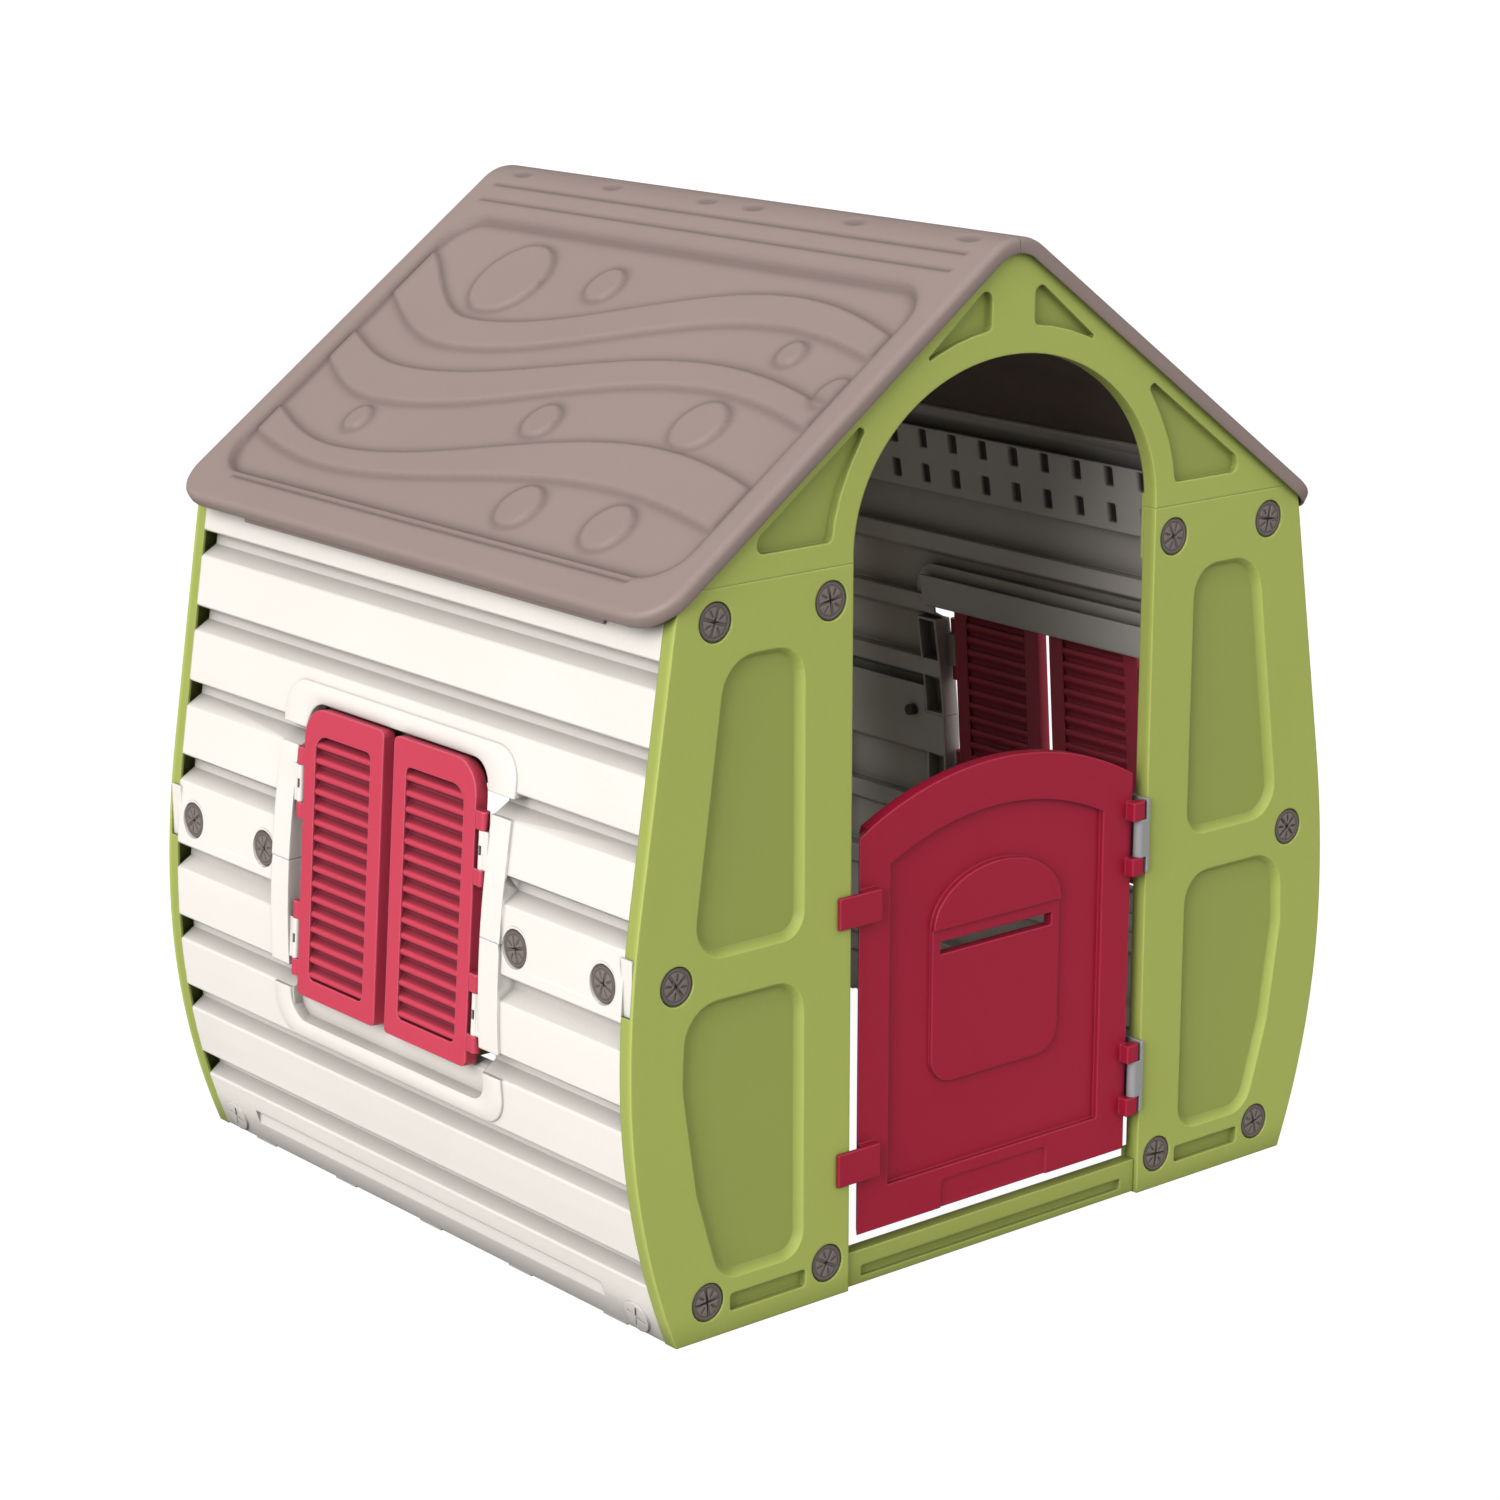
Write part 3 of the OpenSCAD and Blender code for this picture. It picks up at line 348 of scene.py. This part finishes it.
BROWN = moulded_plastic("brown_cap_plastic", (0.13, 0.105, 0.10), (0.22, 0.19, 0.18),
                        rough=0.45, edge_round=0.001)
CAP_BROWN = moulded_plastic("cap_face_plastic", (0.205, 0.168, 0.150), (0.26, 0.22, 0.20),
                            rough=0.42, edge_round=0.0006, crevice_shade=0.8, hollow_reach=0.004)
GREY = moulded_plastic("grey_hinge_plastic", (0.34, 0.34, 0.345), (0.55, 0.55, 0.56),
                       rough=0.4, edge_round=0.0015)
FINISH = {"panel_green": GREEN, "wall_cream": CREAM, "roof_taupe": TAUPE, "door_red": CRIMSON,
          "shutter_pink": RASPBERRY, "screw_brown": BROWN, "bracket_grey": GREY}
SLOT = {s["node"]: s["material_slot"] for s in frame["record"]["subparts"]}


# ---------------------------------------------------------------- moulded copies of the CAD skins
THRESHOLD_TRIM = 0.82
DOOR_FRONT_Y, DOOR_DEPTH, DOOR_EDGE_X, DOOR_TAPER = -0.4232, 0.015, -0.185, 0.0125
FACE_ON = 0.9995


def trimmed(points, node):
    """Small trims of a skin's points: the thresholds are lower than the CAD's by THRESHOLD_TRIM, and the
    door's free edge tapers towards its back face, x + DOOR_TAPER * depth."""
    if node.endswith("threshold"):
        points[:, 2] *= THRESHOLD_TRIM
    if node == "door_leaf":
        depth = np.clip((points[:, 1] - DOOR_FRONT_Y) / DOOR_DEPTH, 0, 1)
        points[:, 0] += DOOR_TAPER * depth * (points[:, 0] < DOOR_EDGE_X)
    return points


def moulded_skin(node):
    """Copy of a CAD node with its triangles joined up, flat where it faces along Y on the panels and the
    door, and smooth over its curves."""
    bm = bmesh.new()
    bm.from_mesh(NODES[node].data)
    bmesh.ops.remove_doubles(bm, verts=bm.verts, dist=2e-5)
    me = bpy.data.meshes.new(node + "_moulded")
    bm.to_mesh(me)
    bm.free()
    points = np.empty(len(me.vertices) * 3)
    me.vertices.foreach_get("co", points)
    me.vertices.foreach_set("co", trimmed(points.reshape(-1, 3), node).ravel())
    me.update()
    me.shade_smooth()
    me.set_sharp_from_angle(angle=math.radians(14))
    if SLOT[node] in ("panel_green", "door_red"):
        normals = np.empty(len(me.polygons) * 3)
        me.polygons.foreach_get("normal", normals)
        me.polygons.foreach_set("use_smooth", np.abs(normals.reshape(-1, 3)[:, 1]) < FACE_ON)
    ob = bpy.data.objects.new(node + "_moulded", me)
    bpy.context.scene.collection.objects.link(ob)
    me.materials.append(FINISH[SLOT[node]])
    flat = ob.modifiers.new("flat", "WEIGHTED_NORMAL")
    flat.mode, flat.weight, flat.keep_sharp = "FACE_AREA_WITH_ANGLE", 90, True
    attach(ob, NODES[node]["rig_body"])
    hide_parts(node)


for node in sorted(NODES):
    if not node.startswith("roof"):
        moulded_skin(node)

# ---------------------------------------------------------------- roof
PITCH = math.radians(35.8)
APEX, ROOF_LEN, ROOF_HALF, RIM, RIDGE_R, EAVE_R = 1.1032, 0.588, 0.438, 0.017, 0.060, 0.048
SKIN, FIELD_DEPTH, GRAIN_HEIGHT = 0.0032, 0.0066, 0.0042
ARC_END = RIDGE_R * math.tan(PITCH)
ARC_START = ARC_END - RIDGE_R * PITCH
RIDGE_C = APEX - RIDGE_R / math.cos(PITCH)
GRAIN = [((0.200, 0.056, 0.230, 0.240, 0.464), (0.243, 0.056, 0.237, 0.313, 0.490)),
         ((0.298, 0.044, 0.262, 0.308, 0.478), (0.341, 0.053, 0.266, 0.304, 0.500)),
         ((0.424, 0.047, 0.251, 0.343, 0.485), (0.469, 0.030, 0.237, 0.362, 0.450))]
KNOTS = [(0.186, 0.230, 0.054), (0.172, 0.073, 0.025), (0.220, -0.286, 0.017), (0.336, -0.253, 0.034),
         (0.374, -0.027, 0.024), (0.425, 0.256, 0.018), (0.488, -0.111, 0.029), (0.487, -0.258, 0.031),
         (0.262, -0.391, 0.022)]
FIELD = (0.107, 0.539, 0.403, 0.05)
FIELD_STEP, GRAIN_STEP = 0.0055, 0.0042
GROOVES = [(0.052, 0.404), (0.078, 0.404), (0.547, 0.358)]
DIMPLE_U, DIMPLE_REACH = 0.028, (0.007, 0.015)
DIMPLES = (0.375, 0.205, 0.035, -0.045, -0.210, -0.385)
RELIEF_DEPTH, UNDERSIDE_SHADE = 0.0022, 0.45


def ease(d, width):
    """Smooth step from 0 to 1 as distance d goes from -width/2 to width/2."""
    t = np.clip(d / width + 0.5, 0, 1)
    return t * t * (3 - 2 * t)


def inside_box(u, y, u0, u1, half, r):
    """Signed distance inside a rounded rectangle u0..u1 by -half..half with corner radius r."""
    cu, hu = (u0 + u1) / 2, (u1 - u0) / 2
    a, b = np.abs(u - cu) - (hu - r), np.abs(y) - (half - r)
    return r - np.hypot(np.maximum(a, 0), np.maximum(b, 0)) - np.minimum(np.maximum(a, b), 0)


def wave(y, mid, amp, crest, lead, trail):
    """Grain line: distance down the slope, a cosine about mid with its crest at y = crest."""
    phase = np.where(y > crest, (y - crest) / lead, (crest - y) / trail)
    return mid + amp * np.cos(np.pi * phase)


def roof_relief(u, y):
    """Depth below the roof plane: recessed field, raised grain bands and knots in it, grooves outside it."""
    inside = inside_box(u, y, *FIELD)
    deep = FIELD_DEPTH * ease(inside, FIELD_STEP)
    raised = np.zeros_like(u)
    for low, high in GRAIN:
        near, far = u - wave(y, *low), wave(y, *high) - u
        raised = np.maximum(raised, ease(np.minimum(near, far), GRAIN_STEP))
    for ku, ky, kr in KNOTS:
        from_rim = kr - np.hypot(u - ku, y - ky)
        tilt = 0.85 + 0.35 * (ky - y) / kr
        raised = np.maximum(raised, ease(from_rim, GRAIN_STEP) * tilt)
    deep = deep - GRAIN_HEIGHT * raised * ease(inside - 0.004, 0.005)
    for gu, gh in GROOVES:
        deep = deep + RELIEF_DEPTH * ease(gh - np.abs(y), 0.004) * np.exp(-((u - gu) / 0.0022) ** 2)
    for my in DIMPLES:
        deep = deep + RELIEF_DEPTH * ease(1 - dimple_reach(u, y, my), 0.6)
    return deep


def dimple_reach(u, y, mid):
    """Distance from the dimple at y = mid under the ridge, 1 at its rim."""
    return np.hypot((u - DIMPLE_U) / DIMPLE_REACH[0], (y - mid) / DIMPLE_REACH[1])


def roof_shade(u, y):
    """Shade gathered at the foot of each step of the relief: 0 on open flats, 0.32 at its darkest."""
    inside = inside_box(u, y, *FIELD)
    shade = 0.30 * np.exp(-((inside - 0.003) / 0.0075) ** 2)
    edge = np.full_like(u, 1.0)
    for low, high in GRAIN:
        band = np.minimum(u - wave(y, *low), wave(y, *high) - u)
        edge = np.minimum(edge, np.abs(band + 0.0022) / np.where(band < -0.0022, 1.6, 0.6))
    for ku, ky, kr in KNOTS:
        from_rim = kr - np.hypot(u - ku, y - ky)
        edge = np.minimum(edge, np.abs(from_rim + 0.0018) / np.where(from_rim < -0.0018, 1.5, 0.6))
    shade = np.maximum(shade, 0.25 * np.exp(-(edge / 0.0044) ** 2) * ease(inside - 0.002, 0.004))
    for gu, gh in GROOVES:
        shade = np.maximum(shade, 0.32 * ease(gh - np.abs(y), 0.004) * np.exp(-((u - gu) / 0.0028) ** 2))
    for my in DIMPLES:
        shade = np.maximum(shade, 0.25 * ease(1 - dimple_reach(u, y, my), 0.8))
    return shade


def slope_frame(u):
    """Point and outward normal of the roof section at path distance u, as x, z pairs."""
    phi = np.clip((u - ARC_START) / RIDGE_R, 0, PITCH)
    n = np.stack([np.sin(phi), np.cos(phi)], -1)
    d = np.stack([np.cos(phi), -np.sin(phi)], -1)
    p = np.stack([np.zeros_like(u), np.full_like(u, RIDGE_C)], -1) + n * RIDGE_R
    past = np.maximum(u - ARC_END, 0)[..., None]
    return p + d * past, n


def roof_sheet(side, name, node, rows=216, cols=256):
    """One roof half: u runs down the slope and y along the ridge; the sheet's height is the relief,
    its edge is a rolled rim, and the underside is the same sheet a skin's thickness lower."""
    roll = 0.0065
    su = np.linspace(0, 1, rows)
    u_top = ARC_START + 0.0003 + su * (ROOF_LEN - roll - ARC_START - 0.0003)
    corner = EAVE_R - roll
    past = np.clip(u_top - (ROOF_LEN - EAVE_R), 0, corner)
    half = ROOF_HALF - EAVE_R + np.sqrt(np.maximum(corner ** 2 - past ** 2, 0))
    t = np.linspace(-1, 1, cols)
    u = np.repeat(u_top[:, None], cols, 1)
    y = half[:, None] * t[None, :]

    def place(uu, yy, depth):
        point, normal = slope_frame(uu)
        xz = point - normal * depth[..., None]
        return np.stack([side * xz[..., 0], yy, xz[..., 1]], -1)

    along = y * -side if side > 0 else y
    relief = roof_relief(u, along)
    top = place(u, y, relief)
    ring_i, ring_j = outer_ring(rows, cols)
    bu, by = u[ring_i, ring_j], y[ring_i, ring_j]
    cu = ROOF_LEN - EAVE_R
    in_corner = bu > cu
    ang = np.arctan2(np.abs(by) - (ROOF_HALF - EAVE_R), bu - cu)
    at_end = (ring_j == 0) | (ring_j == cols - 1)
    ou = np.where(in_corner & at_end, np.cos(ang), 0.0)
    oy = np.where(in_corner & at_end, np.sin(ang) * np.sign(by), np.where(at_end, np.sign(by), 0.0))
    eave = (ring_i == rows - 1)
    ou = np.where(eave, 1.0, ou)
    oy = np.where(eave, 0.0, oy)
    ridge = (ring_i == 0) & ~at_end
    ou, oy = np.where(ring_i == 0, 0.0, ou), np.where(ridge, 0.0, oy)
    q = np.linspace(0, math.pi / 2, 5)
    out = list(roll * np.sin(q)) + [roll, roll - 0.0006, roll - 0.0016, roll - SKIN]
    down = list(roll * (1 - np.cos(q))) + [RIM - 0.0012, RIM - 0.0003, RIM, RIM - 0.0004]
    out += [roll - SKIN - 0.0002]
    down += [SKIN + 0.003]
    rings = []
    for k in range(1, len(out)):
        depth = np.where(ridge, min(down[k], SKIN), down[k])
        rings.append(place(bu + ou * out[k], by + oy * out[k], depth))
    under = place(u, y, 0.0045 * ease(inside_box(u, y, *FIELD), FIELD_STEP) + SKIN)
    count = rows * cols
    loops = len(ring_i)
    points = np.concatenate([top.reshape(-1, 3)] + rings + [under.reshape(-1, 3)])
    top_ring = ring_i * cols + ring_j
    tiers = [top_ring] + [count + k * loops + np.arange(loops) for k in range(len(rings))]
    tiers.append(count + len(rings) * loops + top_ring)
    faces = [grid_faces(rows, cols), grid_faces(rows, cols, count + len(rings) * loops, flip=True)]
    for a, b in zip(tiers[:-1], tiers[1:]):
        faces.append(np.stack([a, b, np.roll(b, -1), np.roll(a, -1)], -1))
    ob = make_mesh(name, points, np.concatenate(faces), TAUPE)
    # painted shade on the points: at the foot of each relief step, none on the rim, UNDERSIDE_SHADE under
    # the roof
    mark_hollows(ob, np.concatenate([roof_shade(u, along).ravel(), np.zeros(len(rings) * loops),
                                     np.full(count, UNDERSIDE_SHADE)]))
    close_up(ob)
    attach(ob, "house")
    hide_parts(node)


# ---------------------------------------------------------------- wall mouldings
WAIST_HALF, WAIST_Z, LEAN_Z = 0.502, 0.290, 0.462
LOW_R, HIGH_R = 0.785, 1.1


def barrel(z):
    """Half width of the house at height z: an arc below the waist, an arc above it, and a straight lean
    inwards above that."""
    z = np.asarray(z, float)
    rise = LEAN_Z - WAIST_Z
    flat = math.sqrt(HIGH_R ** 2 - rise ** 2)
    low = WAIST_HALF - LOW_R + np.sqrt(np.maximum(LOW_R ** 2 - (WAIST_Z - z) ** 2, 0))
    high = WAIST_HALF - HIGH_R + np.sqrt(np.maximum(HIGH_R ** 2 - (z - WAIST_Z) ** 2, 0))
    top = WAIST_HALF - HIGH_R + flat - rise / flat * (z - LEAN_Z)
    return np.where(z < WAIST_Z, low, np.where(z < LEAN_Z, high, top))


def rounded_u(half, end, crown, r, n=14):
    """Path of a U from (-half, end) by way of (0, crown) to (half, end) with quarter-circle corners.
    It stands upside down when crown is above end."""
    way = 1 if crown > end else -1
    a = np.linspace(0, math.pi / 2, n)
    leg = np.linspace(end, crown - way * r, 10)[:-1]
    left = np.stack([-half + r - r * np.cos(a), crown - way * r + way * r * np.sin(a)], -1)
    span = np.linspace(-half + r, half - r, 40)[1:-1]
    path = np.concatenate([np.stack([np.full_like(leg, -half), leg], -1), left,
                           np.stack([span, np.full_like(span, crown)], -1),
                           (left * [-1, 1])[::-1], np.stack([np.full_like(leg, half), leg], -1)[::-1]])
    return path


def window_frame(side, name, inner, outer, proud, skirt):
    """Raised band between two U paths on a wall. Across the band the height is flat with 2 mm rolled edges
    and a skirt that drops into the board grooves; x = side * (barrel(z) + height)."""
    across = np.array([0, 0, 0.02, 0.06, 0.5, 0.94, 0.98, 1, 1])
    height = np.array([-skirt, -0.002, -0.0006, 0, 0.0003, 0, -0.0006, -0.002, -skirt]) + proud
    yz = inner[:, None, :] * (1 - across)[None, :, None] + outer[:, None, :] * across[None, :, None]
    x = side * (barrel(yz[..., 1]) + height[None, :])
    points = np.concatenate([x[..., None], yz], -1)
    ob = make_mesh(name, points.reshape(-1, 3), swept_faces(*points.shape[:2]), CREAM)
    close_up(ob, 40)
    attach(ob, "house")


FRAME_PROUD, FRAME_SKIRT = 0.0030, 0.018
for side, hand in ((-1, "left"), (1, "right")):
    window_frame(side, hand + "_window_frame_top", rounded_u(0.166, 0.537, 0.566, 0.0285),
                 rounded_u(0.212, 0.537, 0.587, 0.036), FRAME_PROUD, FRAME_SKIRT)
    window_frame(side, hand + "_window_frame_bottom", rounded_u(0.180, 0.241, 0.206, 0.024),
                 rounded_u(0.212, 0.241, 0.185, 0.036), FRAME_PROUD, FRAME_SKIRT)


# ---------------------------------------------------------------- screw caps
CAP_R, CAP_RING_R, CAP_ROLL = 0.0197, 0.0158, 0.0022
CAP_FACE_Y, WALL_CAP_Z = 0.4292, 0.387
CAP_SPOTS = [(0.2443, 0.747), (0.3932, 0.747), (0.4436, 0.3855), (0.4052, 0.0396), (0.245, 0.0396)]


def cap_relief(r, a):
    """Height of a cap's face at radius r and angle a: a low dome with a rolled rim, a ring groove,
    a cross of two grooves and four short slots between its arms."""
    dome = 0.0009 * (1 - (r / CAP_R) ** 2)
    ring = 0.0007 * np.exp(-((r - CAP_RING_R) / 0.0010) ** 2)
    x, y = r * np.cos(a), r * np.sin(a)
    cross = np.maximum(ease(0.0015 - np.abs(x), 0.0012), ease(0.0015 - np.abs(y), 0.0012))
    cross = cross * ease(0.0148 - r, 0.002)
    u, v = (x + y) / math.sqrt(2), (x - y) / math.sqrt(2)
    slots = np.maximum(ease(0.0010 - np.abs(u), 0.0009), ease(0.0010 - np.abs(v), 0.0009))
    slots = slots * ease(r - 0.0060, 0.002) * ease(0.0138 - r, 0.002)
    over = ((r - CAP_R + CAP_ROLL) / CAP_ROLL).clip(0, 1)
    rim = -0.0016 * (1 - np.sqrt(np.clip(1 - over ** 2, 0, 1)))
    height = dome - ring - 0.0017 * cross - 0.0012 * slots + rim
    # the second value is painted shade: dark in the rim's drop, the ring groove, the cross and the slots
    edge = 0.85 * ease(r - 0.0182, 0.0012) + 0.60 * np.exp(-((r - CAP_RING_R) / 0.0011) ** 2)
    return height, np.clip(np.maximum(edge, 0.93 * np.maximum(cross, slots)), 0, 0.93)


def screw_caps(name, centres, outward, across):
    """Disc faces of all the caps of one group, as polar grids on the plane at each centre. The last ring
    of a grid drops to the plane behind the cap."""
    spokes, drop, rim_shade = 72, 0.0045, 0.7
    rad = np.linspace(0, 1, 26) ** 0.85 * CAP_R
    ang = np.linspace(0, 2 * math.pi, spokes + 1)[:-1]
    r, a = np.meshgrid(rad, ang, indexing="ij")
    h, shade = cap_relief(r, a)
    shade = np.concatenate([shade, np.full((1, spokes), rim_shade)])
    r = np.concatenate([r, np.full((1, spokes), CAP_R + 0.0001)])
    a = np.concatenate([a, ang[None]])
    h = np.concatenate([h, np.full((1, spokes), -drop)])
    rows, cols = r.shape
    points, faces = [], []
    i, j = np.meshgrid(np.arange(rows - 1), np.arange(cols), indexing="ij")
    quad = np.stack([i * cols + j, i * cols + (j + 1) % cols, (i + 1) * cols + (j + 1) % cols,
                     (i + 1) * cols + j], -1).reshape(-1, 4)
    for k, axes in enumerate(zip(centres, outward, across)):
        c, out, along = (np.asarray(v, float) for v in axes)
        up = np.cross(out, along)
        p = c + (r * np.cos(a))[..., None] * along + (r * np.sin(a))[..., None] * up + h[..., None] * out
        faces.append(quad + k * rows * cols)
        points.append(p.reshape(-1, 3))
    ob = make_mesh(name, np.concatenate(points), np.concatenate(faces), CAP_BROWN)
    # painted shade in the caps' grooves and round their rims
    mark_hollows(ob, np.tile(shade.ravel(), len(points)))
    close_up(ob, merge=1e-6)
    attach(ob, "house")


for way, group in ((-1, "front"), (1, "back")):
    spots = [(m * x, way * CAP_FACE_Y, z) for m in (-1, 1) for x, z in CAP_SPOTS]
    turn = np.radians(np.array([12, -20, 35, 8, -30, 25, -12, 40, 16, -8]))
    screw_caps(group + "_cap_faces", spots, [(0, way, 0)] * 10,
               [(math.cos(t), 0, math.sin(t)) for t in turn])
for side, hand in ((-1, "left"), (1, "right")):
    face_x = side * (float(barrel(0.392)) - 0.0008)
    spots = [(face_x, y, WALL_CAP_Z) for y in (-0.380, -0.234, 0.234, 0.380)]
    turn = np.radians(np.array([20, -15, 30, -35]))
    screw_caps(hand + "_wall_cap_faces", spots, [(side, 0, 0)] * 4,
               [(0, math.cos(t), math.sin(t)) for t in turn])


def eave_lip(side, name):
    """Thin lip under the eave that laps the wall top: a 3 mm strip from z = 0.735 up to the roof skin,
    with a rolled lower edge of radius r, swept along Y."""
    r, foot, half, stations = 0.0015, 0.735, 0.325, 30
    x0 = float(barrel(foot)) + r
    top = [APEX - 0.0045 - math.tan(PITCH) * x for x in (x0, x0 + 2 * r)]
    a = np.linspace(0, math.pi, 7)
    roll = [(x0 + r - r * math.cos(t), foot + r - r * math.sin(t)) for t in a]
    section = np.array([(x0, top[0])] + roll + [(x0 + 2 * r, top[1])])
    y = np.linspace(-half, half, stations)
    points = np.stack([np.broadcast_to(side * section[:, 0], (stations, len(section))),
                       np.repeat(y[:, None], len(section), 1),
                       np.broadcast_to(section[:, 1], (stations, len(section)))], -1)
    ob = make_mesh(name, points.reshape(-1, 3), swept_faces(*points.shape[:2]), TAUPE)
    close_up(ob, 40)
    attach(ob, "house")


# ---------------------------------------------------------------- louvres
LEAN = math.radians(4.2)
HINGE_X, HINGE_Z = 0.491786, 0.400
FIELD_LOW, FIELD_HIGH, SLATS = -0.139, 0.136, 16
NOSE_R, NOSE_AT, SLAT_FLOOR = 0.0043, -0.0033, -0.0028
SLOPE_FROM, SLOPE_TO = -0.0022, 0.0062


def louvre_face(side, end, name, node, inner=False):
    """Louvred face of a shutter as a height field over its recess, in the leaning plane of its hinge line.
    One pitch is a round nose, then a slope back to the recess floor, with painted shade that deepens towards
    the back. On the inner face the same waves are 0.45 as deep."""
    pitch = (FIELD_HIGH - FIELD_LOW) / SLATS
    lz = np.linspace(FIELD_LOW + 0.0005, FIELD_HIGH - 0.0005, SLATS * 18 + 1)
    ly = np.linspace(0.0335, 0.1365, 9)
    at = (lz - FIELD_LOW) % pitch - pitch / 2
    at = np.where(at > pitch - 0.0080, at - pitch, at)
    round_part = np.abs(at - NOSE_AT) < NOSE_R
    nose = 0.0001 + np.sqrt(np.maximum(NOSE_R ** 2 - (at - NOSE_AT) ** 2, 0))
    slope = 0.0034 - 0.8 * np.clip(at - SLOPE_FROM, 0, 0.0078)
    sloped = (at > SLOPE_FROM) & (at < SLOPE_TO)
    lx = np.maximum(np.where(round_part, nose, SLAT_FLOOR), np.where(sloped, slope, SLAT_FLOOR))
    lx = np.maximum(lx, SLAT_FLOOR)
    # painted shade on the slats, darkest on the recess floor
    shade = 0.55 * ease(0.0012 - lx, 0.0052)
    base = -0.0034
    if inner:
        lx, base = -0.0065 - 0.45 * (lx[::-1] - SLAT_FLOOR), -0.0058
        shade = 0.4 * shade[::-1]
    front = lean_points(side, end, np.repeat(lx[:, None], 9, 1), ly, lz)
    back = lean_points(side, end, np.full((len(lz), 9), base), ly, lz)
    ob = closed_sheet(name, front, back, np.repeat(shade[:, None], 9, 1), RASPBERRY)
    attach(ob, NODES[node]["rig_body"])


def lean_points(side, end, lx, ly, lz):
    """Points of a rows x cols grid lx(lz, ly) in the shutter's leaning frame, mirrored by side and end."""
    yy = np.broadcast_to(end * ly[None, :], lx.shape)
    zz = np.broadcast_to(lz[:, None], lx.shape)
    x = HINGE_X + lx * math.cos(LEAN) - zz * math.sin(LEAN)
    z = HINGE_Z + lx * math.sin(LEAN) + zz * math.cos(LEAN)
    return np.stack([side * x, yy, z], -1)


for side, hand in ((-1, "left"), (1, "right")):
    for end, place in ((-1, "front"), (1, "back")):
        leaf = hand + "_" + place + "_shutter"
        louvre_face(side, end, leaf + "_louvres", leaf)
        louvre_face(side, end, leaf + "_inner_louvres", leaf, inner=True)


# ---------------------------------------------------------------- slotted rails inside the wall tops
INNER_FACE = 0.0262
POCKET_DEEP, POCKET_PITCH, POCKET_HALF_Y, POCKET_HALF_Z = 0.0044, 0.0531, 0.006, 0.011
POCKET_ROWS, POCKET_SHADE = (0.752, 0.708), 0.93


def slot_rail(side, name):
    """Smooth strip inside a wall's top with two rows of slots: x = side * (barrel(z) - INNER_FACE + relief),
    where each slot is a shallow 12 x 22 mm pocket darkened with painted shade so that it reads as a through
    slot."""
    z = np.linspace(0.686, 0.766, 41)
    y = np.linspace(-0.372, 0.372, 373)
    zz, yy = np.meshgrid(z, y, indexing="ij")
    near = np.abs((yy / POCKET_PITCH + 0.5) % 1 - 0.5) * POCKET_PITCH
    pocket = np.zeros_like(zz)
    for mid in POCKET_ROWS:
        within = np.minimum(POCKET_HALF_Y - near, POCKET_HALF_Z - np.abs(zz - mid))
        pocket = np.maximum(pocket, ease(within, 0.003))
    front = np.stack([side * (barrel(zz) - INNER_FACE + POCKET_DEEP * pocket), yy, zz], -1)
    back = np.stack([side * (barrel(zz) - INNER_FACE + 0.0060), yy, zz], -1)
    # painted shade: the pockets are darkened nearly to black so that they read as through slots
    ob = closed_sheet(name, front, back, POCKET_SHADE * pocket, CREAM, 40)
    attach(ob, "house")


def inner_lip(side, name):
    """Flat lip inside the window's head, 3 mm thick with a 3 mm rolled lower edge."""
    drop = np.array([0, 0.0003, 0.0012, 0.003, 0.012, 0.040])
    z = 0.533 + drop
    y = np.linspace(-0.192, 0.192, 41)
    zz, yy = np.meshgrid(z, y, indexing="ij")
    bend = 0.0028 * (1 - np.sqrt(np.clip(1 - (1 - np.clip(drop / 0.003, 0, 1)) ** 2, 0, 1)))[:, None]
    front = np.stack([side * (barrel(zz) - INNER_FACE + bend), yy, zz], -1)
    back = np.stack([side * (barrel(zz) - INNER_FACE + 0.0030), yy, zz], -1)
    ob = closed_sheet(name, front, back, np.zeros_like(zz), CREAM, 40)
    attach(ob, "house")


inner_lip(-1, "left_window_inner_lip")
inner_lip(1, "right_window_inner_lip")
slot_rail(-1, "left_wall_slot_rail")
slot_rail(1, "right_wall_slot_rail")

eave_lip(-1, "roof_left_lip")
eave_lip(1, "roof_right_lip")
roof_sheet(-1, "roof_left_sheet", "roof_left")
roof_sheet(1, "roof_right_sheet", "roof_right")
